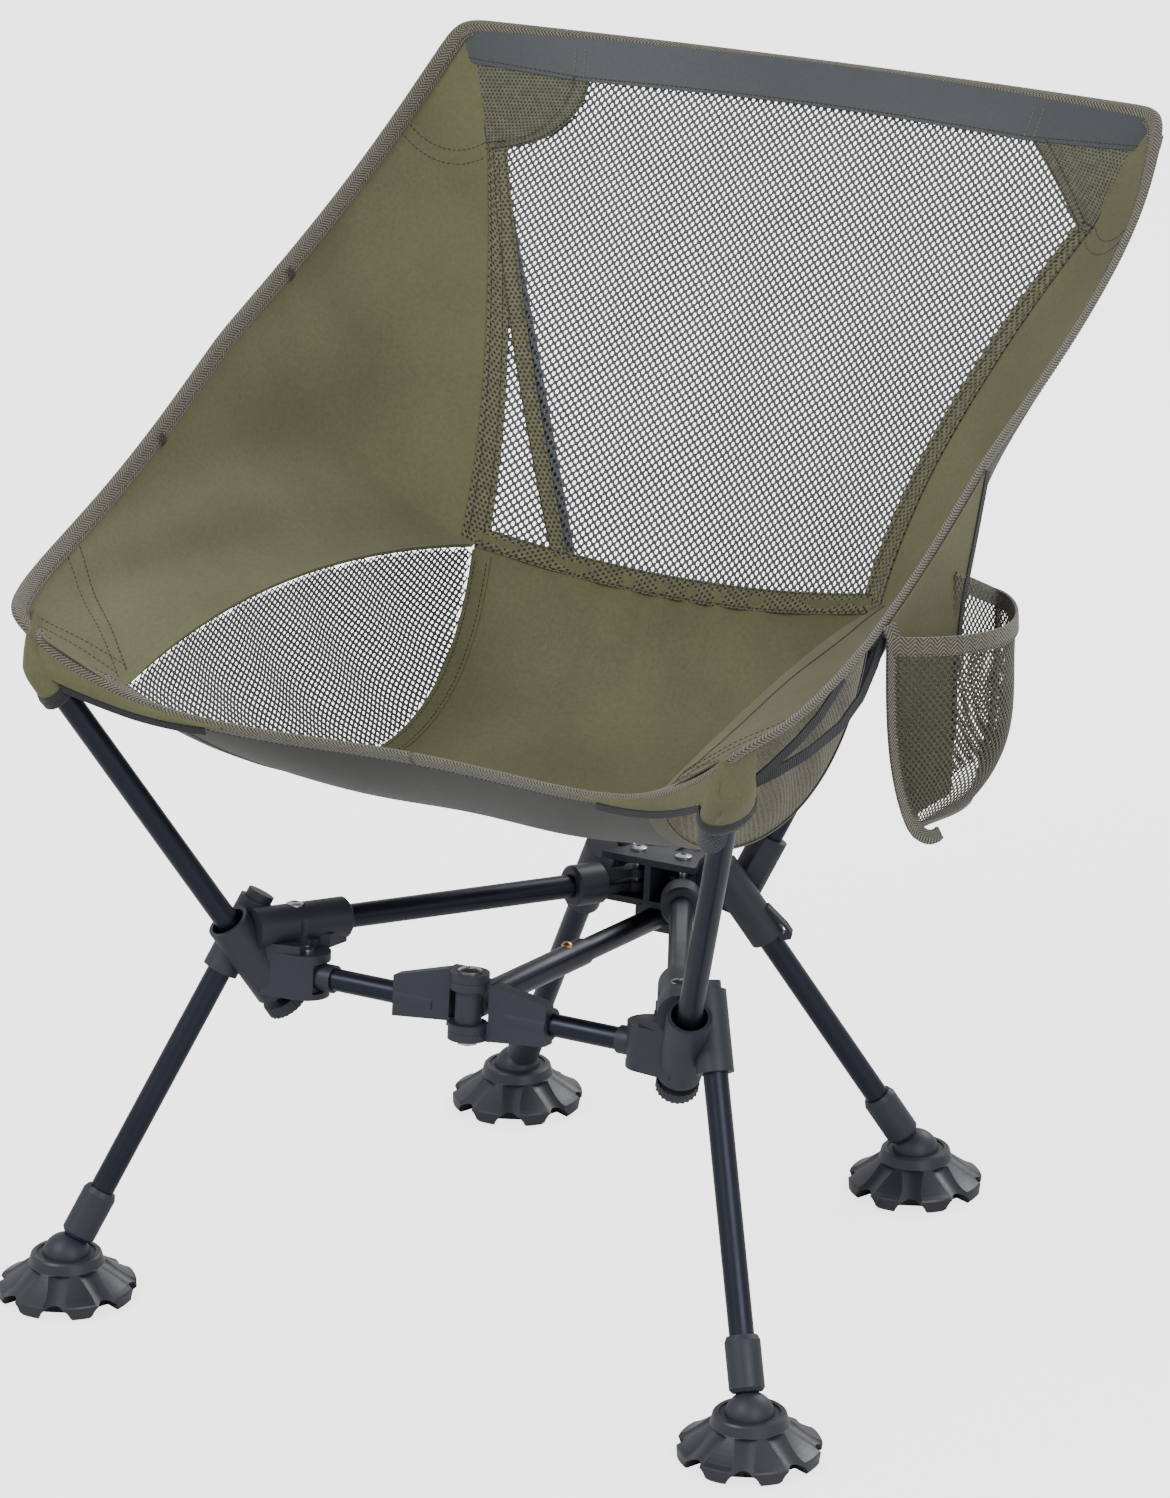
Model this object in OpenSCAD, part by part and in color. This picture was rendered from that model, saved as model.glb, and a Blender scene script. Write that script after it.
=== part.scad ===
// Compact folding field chair: a fabric bucket sling carried by four spread tubes on a folding
// base linkage. +X and the names' right are to the right as seen from the front, +Y points to the
// rear, +Z is up. The origin lies on the floor below the middle of the hub.

/* [Tubes] */
// Outside diameter of arms, legs, uprights and side tubes
tube_d = 14; // [12:0.5:16]
// Outside diameter of the two link tubes of the front brace
link_d = 13; // [11:0.5:14]
// Wall thickness of every tube
tube_wall = 1.2; // [0.8:0.1:2]
// Outside diameter of the telescoping strut sleeve
strut_d = 16; // [15.5:0.5:17]

/* [Base linkage] */
// Slope of the base linkage, falling towards the rear, in degrees
base_tilt = 5.5; // [4:0.5:7]
// Height of the side tubes' plane above the floor at the origin
base_z = 197; // [190:1:205]
// Half distance between the two hub pivots
hub_pivot_x = 15; // [14:0.5:17]
// Rearward position of the hub pivots
hub_pivot_y = 33; // [31:0.5:35]
// Half distance between the two link pivots in the corner fittings
link_pivot_x = 112.6; // [110:0.2:116]
// Forward distance of the link tubes from the origin
link_pivot_y = 182; // [180:0.5:184]
// Distance of the centre hinge pin in front of the link tubes
over_centre = 8.9; // [8:0.1:10]

/* [Stance] */
// Sideways position of the front feet
front_foot_x = 222; // [218:1:226]
// Forward position of the front feet
front_foot_y = 272.3; // [268:1:276]
// Sideways position of the rear feet
rear_foot_x = 136.7; // [133:1:140]
// Rearward position of the rear feet
rear_foot_y = 102.5; // [99:1:106]
// Outside diameter of a foot
foot_d = 80; // [70:1:86]
// Height of a foot's ball centre above the floor
ball_z = 24; // [23.6:0.2:25]
// Radius of the ball on the end of a leg
ball_r = 14; // [13.8:0.1:14.1]

/* [Sling] */
// Thickness of the fabric panels as solids
fabric_t = 3; // [2:0.2:3.4]
// Diameter of the edge binding as a solid
binding_d = 7; // [5:0.5:8]
// Height of the seat's front edge above the floor
front_edge_z = 360; // [350:1:370]
// Depth of the seat's bowl below its front edge
seat_depth = 91; // [84:1:98]

/* [Hidden] */
// Middle of the outline seen from above, from the chair's mirror plane and the hub's cross axis
outline_middle = [15.485, -41.615, 0];
$fn = 48;

// Colours
plastic_col = [0.11, 0.12, 0.16];
tube_col = [0.09, 0.10, 0.15];
steel_col = [0.75, 0.76, 0.78];
brass_col = [0.75, 0.50, 0.25];
olive_col = [0.36, 0.37, 0.25];
mesh_col = [0.42, 0.42, 0.43];
binding_col = [0.42, 0.41, 0.35];

// Clearances: a tube seated in its socket, and a turning or sliding pair
seat_gap = 0.05;
run_gap = 0.06;
e = 0.01;

// Heights of the linkage layers above the side tubes' plane
strut_z = -21.5;
link_z = -26;

// Hub pivots, side tubes and collars
side_angle = 27.7;
hub_pivot = [hub_pivot_x, hub_pivot_y, 0];
collar_at = 37;
collar_d = 24.5;
collar_len = 21;
sleeve_from = 202;
sleeve_to = 264;
sleeve_d = 24;
pin_r = 3;
prong_t = 5;
prong_z = 1.6;
fork_r = 8;
mouth_angle = 44.3;

// Front corner: leg and arm axes, each given by a point and a direction
leg_exit = [160.5, -198.6, 186.8];
front_ball = [front_foot_x, -front_foot_y, ball_z];
leg_dir = unit(front_ball - leg_exit);
arm_exit = [147.9, -206.4, 219];
arm_tip = [210.4, -282.5, 375.5];
arm_dir = unit(arm_tip - arm_exit);
arm_end = arm_tip + 19.5 * arm_dir;
leg_socket_d = 21;
leg_socket_up = 46;
arm_socket_d = 25;
arm_mouth_d = 20.5;
arm_socket_down = 50;
link_pivot = [link_pivot_x, -link_pivot_y, 0];

// Clevis in the corner fitting that holds the link eye
clevis_r = 14.5;
clevis_room_r = 11.6;
clevis_top = -12;
clevis_bottom = -38.2;
eye_h = 17;
eye_r = 11;

// Centre hinge of the front brace
hinge_pin = [0, -link_pivot_y - over_centre, strut_z];
barrel_r = 11.3;
barrel_h = 39;
ring_h = 4.7;
eye_ring_h = 19.4;
bolt_r = 4;

// Strut: inner tube fixed in the hub, sleeve sliding over it
strut_bore_r = strut_d / 2 - tube_wall;
inner_r = strut_bore_r - run_gap;
inner_front = -84.5;
inner_rear = 62;
strut_front = -181.5;
strut_rear = -59;
button_y = -78;
button_r = 3.2;

// Hub
plate_top = 17;
plate_t = 4;
floor_top = -8;
floor_t = 4;
housing_y = 42;
housing_x = 20;
housing_bottom = -34;

// Rear pivots: the pin runs level, square to the leg's and the upright's planes
rear_pivot = [45.8, 50.9, 186.6];
rear_pin_dir = [-0.565, 0.825, 0];
rear_side = 9;
rear_ball = [rear_foot_x, rear_foot_y, ball_z];
rear_leg_top = rear_pivot - rear_side * rear_pin_dir;
rear_leg_dir = unit(rear_ball - rear_leg_top);
upright_base = rear_pivot + rear_side * rear_pin_dir;
upright_end = [222, 204, 628];
upright_dir = unit(upright_end - upright_base);
rear_sleeve_d = 21.6;
fork_relief = [29.3, 24.7, 193.1];
rear_pin_r = 4;
lug_from = 21;
lug_to = 27;

// Feet
ring_r = 17;
ring_low = -6.5;
ring_high = 2;
foot_hub_r = 20.5;
foot_rim_z = 26.8;
foot_lobes = 8;

// Sling landmarks on the right-hand half
front_corner = [227, -303, 418];
wing_front = [170, -280, 378];
junction = [131, 43.5, 378];
strip_top = [198, 184, 582];
back_corner = [232, 205, 650];

function unit(v) = v / norm(v);
function mix(a, b, t) = a + (b - a) * t;
function bump(t) = 4 * t * (1 - t);
function flip(p) = [-p[0], p[1], p[2]];
function bezier(a, b, c, d, t) =
    pow(1 - t, 3) * a + 3 * t * pow(1 - t, 2) * b + 3 * t * t * (1 - t) * c + pow(t, 3) * d;

// A child drawn along +Z from the origin is laid from point p in direction d
module along(p, d) {
    translate(p)
        rotate([0, acos(d[2] / norm(d)), atan2(d[1], d[0])])
            children();
}

module rod(p, q, r) {
    along(p, q - p)
        cylinder(h = norm(q - p), r = r);
}

module pipe(p, q, d) {
    along(p, q - p)
        difference() {
            cylinder(h = norm(q - p), d = d);
            translate([0, 0, -1])
                cylinder(h = norm(q - p) + 2, d = d - 2 * tube_wall);
        }
}

// Frame of the sloping base linkage: level coordinates in, sloping out
module in_base() {
    translate([0, 0, base_z])
        rotate([-base_tilt, 0, 0])
            children();
}

// Right-hand side as drawn, or its mirror image on the left
module side(right) {
    if (right) {
        children();
    } else {
        mirror([1, 0, 0])
            children();
    }
}

// Puts +X along the right-hand side tube, starting at the hub pivot
module on_side_tube() {
    translate(hub_pivot)
        rotate([0, 0, -90 + side_angle])
            children();
}

module screw_head(r, h) {
    difference() {
        intersection() {
            cylinder(h = h, r = r);
            translate([0, 0, h - 2.2 * r])
                sphere(r = 2.2 * r);
        }
        translate([0, 0, h * 0.45])
            cylinder(h = h, r = r * 0.42, $fn = 6);
    }
}

/* ---------- hub ---------- */

module hub_plate() {
    color(plastic_col)
        in_base() {
            difference() {
                translate([0, 0, plate_top - plate_t])
                    linear_extrude(plate_t)
                        hub_plate_outline();
                for (s = [-1, 1])
                    translate([s * hub_pivot_x, hub_pivot_y, plate_top - plate_t - 1])
                        cylinder(h = plate_t + 2, r = pin_r + seat_gap);
                translate([0, 0, plate_top - 1.4])
                    linear_extrude(3)
                        plate_recess();
            }
            // centre rib between the two pivot cells
            translate([-2, 17, floor_top])
                cube([4, housing_y - 17, plate_top - plate_t - floor_top]);
        }
}

module hub_plate_outline() {
    polygon([[-30.6, 17], [30.6, 17], [30.6, 20], [25, 34], [21, 50], [19, 64], [-19, 64], [-21, 50],
        [-25, 34], [-30.6, 20]]);
}

module plate_recess() {
    for (right = [true, false])
        side(right)
            polygon([[3, 44], [17, 44], [14.5, 60], [3, 60]]);
}

module hub_housing() {
    color(plastic_col) {
        in_base() {
            difference() {
                union() {
                    // floor of the pivot cells
                    translate([0, 0, floor_top - floor_t])
                        linear_extrude(floor_t)
                            polygon([[-27, 17], [27, 17], [22, 44], [-22, 44]]);
                    // rear block with the strut socket
                    translate([-housing_x, housing_y, housing_bottom])
                        cube([2 * housing_x, 22, plate_top - plate_t - housing_bottom]);
                    translate([-12, housing_y - 4, housing_bottom + 2])
                        cube([24, 6, floor_top - floor_t - housing_bottom]);
                }
                for (s = [-1, 1])
                    translate([s * hub_pivot_x, hub_pivot_y, floor_top - floor_t - 1])
                        cylinder(h = floor_t + 2, r = pin_r + seat_gap);
                translate([0, 30, strut_z])
                    rotate([-90, 0, 0])
                        cylinder(h = inner_rear - 30 + e, r = inner_r + seat_gap);
                // moulded pockets that lighten the block
                for (s = [-1, 1])
                    translate([s * 13 - 4, housing_y - 1, -6])
                        cube([8, 9, 15]);
                // groove that lets the snap button slide under the floor
                translate([-4.5, 15, floor_top - floor_t - 1])
                    cube([9, 10, 2.6]);
            }
        }
        for (right = [true, false])
            side(right)
                rear_lug();
    }
}

// Upright plate behind the upright socket that carries the rear axle
module rear_lug() {
    difference() {
        union() {
            along(rear_pivot + lug_from * rear_pin_dir, rear_pin_dir)
                cylinder(h = lug_to - lug_from, r = 10);
            hull()
                for (z = [-15, 10])
                    for (p = [rear_pivot + [0, 0, z], [12, 56.6, rear_pivot[2] + z]])
                        along(p + lug_from * rear_pin_dir, rear_pin_dir)
                            cylinder(h = lug_to - lug_from, r = 3, $fn = 32);
            translate([3, 62, rear_pivot[2] - 17])
                cube([16, 14, 28]);
        }
        along(rear_pivot + (lug_from - 12) * rear_pin_dir, rear_pin_dir)
            cylinder(h = lug_to - lug_from + 24, r = rear_pin_r + seat_gap);
        along(rear_pivot + lug_to * rear_pin_dir, rear_pin_dir)
            cylinder(h = 14, r = 6.8);
    }
}

module pivot_screws() {
    color(steel_col)
        in_base()
            for (s = [-1, 1])
                translate([s * hub_pivot_x, hub_pivot_y, 0]) {
                    translate([0, 0, floor_top - floor_t])
                        cylinder(h = plate_top - floor_top + floor_t, r = pin_r);
                    translate([0, 0, plate_top])
                        screw_head(5, 2.6);
                    translate([0, 0, floor_top - floor_t - 3])
                        cylinder(h = 3, r = 5, $fn = 6);
                }
}

module rear_axles() {
    color(steel_col)
        for (right = [true, false])
            side(right) {
                along(rear_pivot - 15 * rear_pin_dir, rear_pin_dir)
                    cylinder(h = lug_to + 15, r = rear_pin_r);
                along(rear_pivot + lug_to * rear_pin_dir, rear_pin_dir)
                    screw_head(6.5, 3);
            }
}

module strut_inner_tube() {
    color(tube_col)
        in_base()
            difference() {
                rod([0, inner_front, strut_z], [0, inner_rear, strut_z], inner_r);
                rod([0, inner_front - 1, strut_z], [0, inner_rear + 1, strut_z], inner_r - tube_wall);
                translate([0, button_y, strut_z])
                    cylinder(h = 20, r = button_r + run_gap);
            }
}

// Leaf inside the inner tube that pushes the snap button up
module snap_spring() {
    leaf_z = strut_z - inner_r + tube_wall + 0.6;
    color(steel_col)
        in_base() {
            translate([-1.5, button_y - 2, leaf_z])
                cube([3, 26, 0.8]);
            translate([0, button_y, leaf_z + 0.7])
                cylinder(h = strut_z + 4.2 - leaf_z - 0.7, r = 1.4);
        }
}

/* ---------- strut and centre hinge ---------- */

module strut_sleeve() {
    color(tube_col)
        in_base()
            difference() {
                rod([0, strut_front, strut_z], [0, strut_rear, strut_z], strut_d / 2);
                rod([0, strut_front - 1, strut_z], [0, strut_rear + 1, strut_z], strut_bore_r);
                translate([0, button_y, strut_z])
                    cylinder(h = 20, r = button_r + run_gap);
            }
}

module strut_eye() {
    color(plastic_col)
        in_base()
            difference() {
                union() {
                    translate(hinge_pin - [0, 0, eye_ring_h / 2])
                        cylinder(h = eye_ring_h, r = 7.6);
                    rod([0, hinge_pin[1] + 3, strut_z], [0, strut_front + 16, strut_z], 9.5);
                }
                translate(hinge_pin - [0, 0, 20])
                    cylinder(h = 40, r = bolt_r + run_gap);
                rod([0, strut_front, strut_z], [0, strut_front + 17, strut_z], strut_d / 2 + seat_gap);
                for (s = [-1, 1])
                    translate(hinge_pin + [0, 0, s * (eye_ring_h / 2 + 5)])
                        cylinder(h = 10, r = barrel_r + 1, center = true);
            }
}

module hinge_bolt() {
    color(steel_col)
        in_base()
            translate([hinge_pin[0], hinge_pin[1], hinge_pin[2]]) {
                translate([0, 0, -barrel_h / 2])
                    cylinder(h = barrel_h, r = bolt_r);
                translate([0, 0, barrel_h / 2])
                    screw_head(6.8, 2.8);
                translate([0, 0, -barrel_h / 2 - 3])
                    cylinder(h = 3, r = 6.2, $fn = 6);
            }
}

// Its shank stops at the sleeve's bore, so that it drags on nothing as the strut closes
module snap_button() {
    color(brass_col)
        in_base()
            translate([0, button_y, strut_z]) {
                translate([0, 0, inner_r + 0.12])
                    cylinder(h = 9 - inner_r - 0.12, r = button_r);
                translate([0, 0, 9])
                    intersection() {
                        cylinder(h = 2, r = button_r);
                        translate([0, 0, -2.4])
                            sphere(r = 4);
                    }
            }
}

/* ---------- front brace links ---------- */

module link_tube(right) {
    color(tube_col)
        in_base()
            side(right)
                pipe([32, -link_pivot_y, link_z], [link_pivot_x - 5, -link_pivot_y, link_z], link_d);
}

// Cast bracket: two rings round the bolt and a plate that holds the link tube's end
module hinge_bracket(right) {
    low = right ? -barrel_h / 2 : -barrel_h / 2 + ring_h + 0.15;
    high = right ? barrel_h / 2 - 2 * ring_h - 0.15 : barrel_h / 2 - ring_h;
    plate_low = right ? -barrel_h / 2 : -11.5;
    plate_high = right ? barrel_h / 2 - ring_h - 0.2 : barrel_h / 2;
    color(plastic_col)
        in_base()
            side(right)
                difference() {
                    union() {
                        translate(hinge_pin)
                            for (z = [low, high])
                                translate([0, 0, z])
                                    cylinder(h = ring_h, r = barrel_r);
                        // web plate, flush with the pin's plane in front
                        translate(hinge_pin + [11.5, 0, 0])
                            rotate([90, 0, 180])
                                linear_extrude(9)
                                    mirror([1, 0])
                                        polygon([[0, plate_low], [0, plate_high], [38, 8.5], [38, -15.5]]);
                        for (z = [low, high])
                            translate(hinge_pin + [0, 0, z])
                                cube([14, 9, ring_h]);
                        // socket round the tube
                        rod([24, -link_pivot_y, link_z], [49, -link_pivot_y, link_z], link_d / 2 + 3);
                    }
                    translate(hinge_pin - [0, 0, 30])
                        cylinder(h = 60, r = bolt_r + run_gap);
                    rod([32, -link_pivot_y, link_z], [60, -link_pivot_y, link_z], link_d / 2 + seat_gap);
                    // room for the strut's eye and the other bracket's rings
                    translate(hinge_pin - [0, 0, eye_ring_h / 2 + 0.1])
                        cylinder(h = eye_ring_h + 0.2, r = barrel_r + 1.4);
                    bracket_ring_room(right);
                }
}

module bracket_ring_room(right) {
    zs = right
        ? [-barrel_h / 2 + ring_h, barrel_h / 2 - ring_h]
        : [-barrel_h / 2, barrel_h / 2 - 2 * ring_h - 0.15];
    for (z = zs)
        translate(hinge_pin + [0, 0, z])
            cylinder(h = ring_h + 0.15, r = barrel_r + 0.4);
}

module link_eye(right) {
    color(plastic_col)
        in_base()
            side(right)
                difference() {
                    union() {
                        translate(link_pivot + [0, 0, link_z - eye_h / 2])
                            cylinder(h = eye_h, r = eye_r);
                        rod(link_pivot + [-20, 0, link_z], link_pivot + [-8, 0, link_z], link_d / 2 + 1.6);
                    }
                    translate(link_pivot + [0, 0, link_z - 20])
                        cylinder(h = 40, r = 3 + run_gap);
                    rod(link_pivot + [-30, 0, link_z], link_pivot + [-5, 0, link_z], link_d / 2 + seat_gap);
                }
}

/* ---------- side tubes and front corners ---------- */

module side_tube(right) {
    color(tube_col)
        in_base()
            side(right)
                on_side_tube()
                    pipe([collar_at - 6, 0, 0], [sleeve_to - 4, 0, 0], tube_d);
}

// Collar on the tube's rear end, with a two-pronged fork hooked on the hub's pivot screw.
// The hooks open backwards and inwards, so that they leave the screw as the frame folds.
module pivot_fork(right) {
    color(plastic_col)
        in_base()
            side(right)
                on_side_tube()
                    difference() {
                        union() {
                            translate([collar_at - collar_len / 2, 0, 0])
                                rotate([0, 90, 0])
                                    collar_ring();
                            for (z = [prong_z, -prong_z - prong_t])
                                translate([0, 0, z]) {
                                    cylinder(h = prong_t, r = fork_r);
                                    translate([0, -4, 0])
                                        cube([collar_at - collar_len / 2 + 1, 8, prong_t]);
                                }
                        }
                        translate([collar_at - 6, 0, 0])
                            rotate([0, 90, 0])
                                cylinder(h = 40, d = tube_d + 2 * seat_gap);
                        translate([0, 0, -20])
                            cylinder(h = 40, r = pin_r + run_gap);
                        rotate([0, 0, 180 + mouth_angle])
                            translate([0, 0, -20])
                                linear_extrude(40)
                                    polygon([[0, -pin_r - run_gap], [12, -pin_r - 1.8],
                                        [12, pin_r + 1.8], [0, pin_r + run_gap]]);
                    }
}

module collar_ring() {
    rotate_extrude()
        polygon([[0, 0], [collar_d / 2 - 1.5, 0], [collar_d / 2, 1.5], [collar_d / 2, collar_len - 1.5],
            [collar_d / 2 - 1.5, collar_len], [0, collar_len]]);
}

module corner_fitting(right) {
    color(plastic_col)
        side(right)
            difference() {
                union() {
                    in_base()
                        corner_body();
                    // leg socket with its raised top boss
                    rod(leg_exit, leg_exit - leg_socket_up * leg_dir, leg_socket_d / 2);
                    rod(leg_exit - (leg_socket_up - 2) * leg_dir, leg_exit - (leg_socket_up + 5) * leg_dir,
                        leg_socket_d / 2 - 2.5);
                    // arm socket, crossing in front of the leg socket
                    rod(arm_exit + 3 * arm_dir, arm_exit - arm_socket_down * arm_dir, arm_socket_d / 2);
                }
                rod(leg_exit + 5 * leg_dir, leg_exit - (leg_socket_up - 10) * leg_dir, tube_d / 2 + seat_gap);
                rod(arm_exit + 6 * arm_dir, arm_exit - 12 * arm_dir, arm_mouth_d / 2);
                rod(arm_exit + 6 * arm_dir, arm_exit - 26 * arm_dir, tube_d / 2 + seat_gap);
                rod(arm_exit - 36 * arm_dir, arm_exit - 80 * arm_dir, 4 + seat_gap);
                // room for the nut
                rod(arm_exit - 55.6 * arm_dir, arm_exit - 64 * arm_dir, 12.7);
                in_base()
                    corner_cuts();
            }
}

// Sleeve for the side tube, and the clevis box below it
module corner_body() {
    on_side_tube()
        translate([sleeve_from, 0, 0])
            rotate([0, 90, 0])
                rotate_extrude()
                    polygon([[0, 0], [sleeve_d / 2 - 1.5, 0], [sleeve_d / 2, 1.5],
                        [sleeve_d / 2, sleeve_to - sleeve_from], [0, sleeve_to - sleeve_from]]);
    translate(link_pivot + [0, 0, clevis_bottom])
        cylinder(h = clevis_top - clevis_bottom, r = clevis_r);
    // block that ties the clevis to the sockets
    translate([0, 0, clevis_bottom])
        linear_extrude(clevis_top - clevis_bottom)
            polygon([[link_pivot_x - 4, -link_pivot_y - clevis_r + 0.6], [132, -199], [141, -190],
                [134, -176], [link_pivot_x + 6, -link_pivot_y + clevis_r - 1.5]]);
    translate([0, 0, clevis_top - 5])
        linear_extrude(10)
            polygon([[link_pivot_x - 3, -link_pivot_y - 12], [131, -200], [138, -186],
                [126, -168], [link_pivot_x - 2, -168]]);
    // gusset between the sleeve and the clevis
    translate([0, 0, clevis_top - 1])
        linear_extrude(8)
            polygon([[link_pivot_x - 7, -167], [link_pivot_x + 8, -176], [link_pivot_x + 2, -150],
                [link_pivot_x - 8, -150]]);
}

module corner_cuts() {
    // room for the link eye and for the sweep of its tube
    translate(link_pivot + [0, 0, link_z - eye_h / 2 - 0.3])
        cylinder(h = eye_h + 0.6, r = clevis_room_r);
    translate(link_pivot + [0, 0, link_z - eye_h / 2 - 0.3])
        linear_extrude(eye_h + 0.6)
            polygon([[0, 0], [3, -9.5], [-40, -9.5], [-60, 20], [-24, 52], [3, 45], [7, 20]]);
    // pivot pin hole, side tube bore and screw holes
    translate(link_pivot + [0, 0, clevis_bottom - 5])
        cylinder(h = 60, r = 3 + seat_gap);
    on_side_tube() {
        translate([sleeve_from - 1, 0, 0])
            rotate([0, 90, 0])
                cylinder(h = sleeve_to - 4 - sleeve_from + 1.2, d = tube_d + 2 * seat_gap);
        translate([236, 0, tube_d / 2])
            cylinder(h = 20, r = 2.1);
        translate([236, 0, sleeve_d / 2 - 1.2])
            cylinder(h = 20, r = 5.6);
    }
    // flat seat under the link screw's head, open upwards
    translate(link_pivot + [0, 0, clevis_top])
        cylinder(h = 7, r = 5.4);
}

module arm_tube(right) {
    color(tube_col)
        side(right)
            pipe(arm_exit - 25.5 * arm_dir, arm_end, tube_d);
}

module front_leg_tube(right) {
    color(tube_col)
        side(right)
            pipe(leg_exit - (leg_socket_up - 10.5) * leg_dir, front_ball - 22 * leg_dir, tube_d);
}

module fitting_screws(right) {
    color(steel_col)
        side(right)
            in_base() {
                on_side_tube()
                    translate([236, 0, 0]) {
                        translate([0, 0, tube_d / 2 + 0.1])
                            cylinder(h = sleeve_d / 2 - 1.2 - tube_d / 2, r = 2);
                        translate([0, 0, sleeve_d / 2 - 1.1])
                            screw_head(5, 2.4);
                    }
                translate(link_pivot) {
                    translate([0, 0, clevis_bottom - 1])
                        cylinder(h = clevis_top - clevis_bottom + 1.1, r = 3);
                    translate([0, 0, clevis_top + 0.1])
                        screw_head(5, 2.4);
                }
            }
}

// Knurled nut under the arm socket, on its stud
module arm_nut(right) {
    teeth = 24;
    color(plastic_col)
        side(right) {
            along(arm_exit - 56 * arm_dir, -arm_dir)
                difference() {
                    cylinder(h = 7, r = 12.2);
                    for (i = [0 : teeth - 1])
                        rotate([0, 0, i * 360 / teeth])
                            translate([12.9, 0, -1])
                                cylinder(h = 9, r = 1.3, $fn = 16);
                }
            along(arm_exit - 37 * arm_dir, -arm_dir)
                cylinder(h = 20, r = 4);
        }
}

// Ball with its sleeve on the end of a leg
module leg_ball(centre, dir) {
    difference() {
        union() {
            translate(centre)
                sphere(r = ball_r);
            along(centre, -dir)
                cylinder(h = 18, r = 5.6);
            along(centre - 13 * dir, -dir)
                rotate_extrude()
                    polygon([[0, 0], [8.5, 0], [10, 2], [10, 28], [8.6, 31], [0, 31]]);
        }
        along(centre - 21.8 * dir, -dir)
            cylinder(h = 40, d = tube_d + 2 * seat_gap);
    }
}

module front_ball_end(right) {
    color(plastic_col)
        side(right)
            leg_ball(front_ball, leg_dir);
}

/* ---------- rear legs and uprights ---------- */

// Cuts away what lies on the other side of the rear pivot's middle plane
module rear_half(front) {
    intersection() {
        children();
        along(rear_pivot + (front ? -60.4 : 0.4) * rear_pin_dir, rear_pin_dir)
            cylinder(h = 60, r = 90);
    }
}

module upright_socket(right) {
    color(plastic_col)
        side(right)
            difference() {
                rear_half(false)
                    union() {
                        rod(upright_base - 13 * upright_dir, upright_base + 38 * upright_dir,
                            rear_sleeve_d / 2);
                        along(rear_pivot, rear_pin_dir)
                            cylinder(h = 20.4, r = 10);
                    }
                rod(upright_base + 9 * upright_dir, upright_base + 60 * upright_dir, tube_d / 2 + seat_gap);
                along(rear_pivot - 20 * rear_pin_dir, rear_pin_dir)
                    cylinder(h = 60, r = rear_pin_r + run_gap);
            }
}

module upright_tube(right) {
    color(tube_col)
        side(right)
            pipe(upright_base + 9.2 * upright_dir, upright_end, tube_d);
}

module rear_leg_sleeve(right) {
    color(plastic_col)
        side(right)
            difference() {
                rear_half(true)
                    union() {
                        rod(rear_leg_top - 27 * rear_leg_dir, rear_leg_top + 26 * rear_leg_dir,
                            rear_sleeve_d / 2);
                        rear_fin();
                    }
                rod(rear_leg_top + 9 * rear_leg_dir, rear_leg_top + 60 * rear_leg_dir,
                    tube_d / 2 + seat_gap);
                along(rear_pivot - 15.4 * rear_pin_dir, rear_pin_dir)
                    cylinder(h = 60, r = rear_pin_r + run_gap);
                // relief that lets the side tube's fork swing past
                translate(fork_relief)
                    sphere(r = 12);
            }
}

// Fin with a hooked slot on the inboard side of the leg sleeve
module rear_fin() {
    along(rear_leg_top, rear_leg_dir)
        rotate([0, 0, 200])
            rotate([90, 0, 0])
                translate([0, 0, -2.5])
                    linear_extrude(5)
                        difference() {
                            polygon([[0, 2], [12, 8], [15, 24], [15, 30], [12.5, 33], [9, 32], [0, 26]]);
                            translate([11.6, 27])
                                circle(r = 1.5);
                            polygon([[10.1, 27], [10.1, 19], [13.1, 22], [13.1, 27]]);
                        }
}

module rear_leg_tube(right) {
    color(tube_col)
        side(right)
            pipe(rear_leg_top + 9.2 * rear_leg_dir, rear_ball - 22 * rear_leg_dir, tube_d);
}

module rear_ball_end(right) {
    color(plastic_col)
        side(right)
            leg_ball(rear_ball, rear_leg_dir);
}

/* ---------- feet ---------- */

// Split ring that holds the ball and turns inside the foot
module ball_ring(centre) {
    color(plastic_col)
        translate(centre)
            difference() {
                translate([0, 0, ring_low])
                    cylinder(h = ring_high - ring_low, r = ring_r);
                sphere(r = ball_r + run_gap);
            }
}

module foot(centre) {
    color(plastic_col)
        translate([centre[0], centre[1], 0])
            difference() {
                rotate_extrude($fn = 96)
                    foot_profile();
                translate([0, 0, ball_z])
                    sphere(r = ball_r + 1.2);
                translate([0, 0, ball_z + ring_low - 0.3])
                    cylinder(h = 30, r = ring_r + run_gap);
                for (i = [0 : foot_lobes - 1])
                    rotate([0, 0, (i + 0.5) * 360 / foot_lobes])
                        foot_scallop();
            }
}

function foot_slope(t) = [mix(foot_d / 2 - 0.5, foot_hub_r + 1.5, t), 8.5 + 12 * pow(t, 1.25)];

module foot_profile() {
    slope = [for (i = [0 : 6]) foot_slope(i / 6)];
    polygon(concat([[0, 0], [foot_d / 2 - 2, 0], [foot_d / 2, 2], [foot_d / 2, 7.5]], slope,
        [[foot_hub_r, foot_rim_z - 1], [foot_hub_r - 1, foot_rim_z], [0, foot_rim_z]]));
}

// Hollow between two ridges, and the arch below it at the rim
module foot_scallop() {
    translate([foot_hub_r + 8.2, 0, 30.2])
        rotate([0, 124.4, 0])
            cylinder(h = 60, r = 14);
    translate([foot_hub_r + 6.5, 0, -1.5])
        rotate([0, 90, 0])
            cylinder(h = 30, r = 9.7);
}

/* ---------- sling ---------- */

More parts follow.
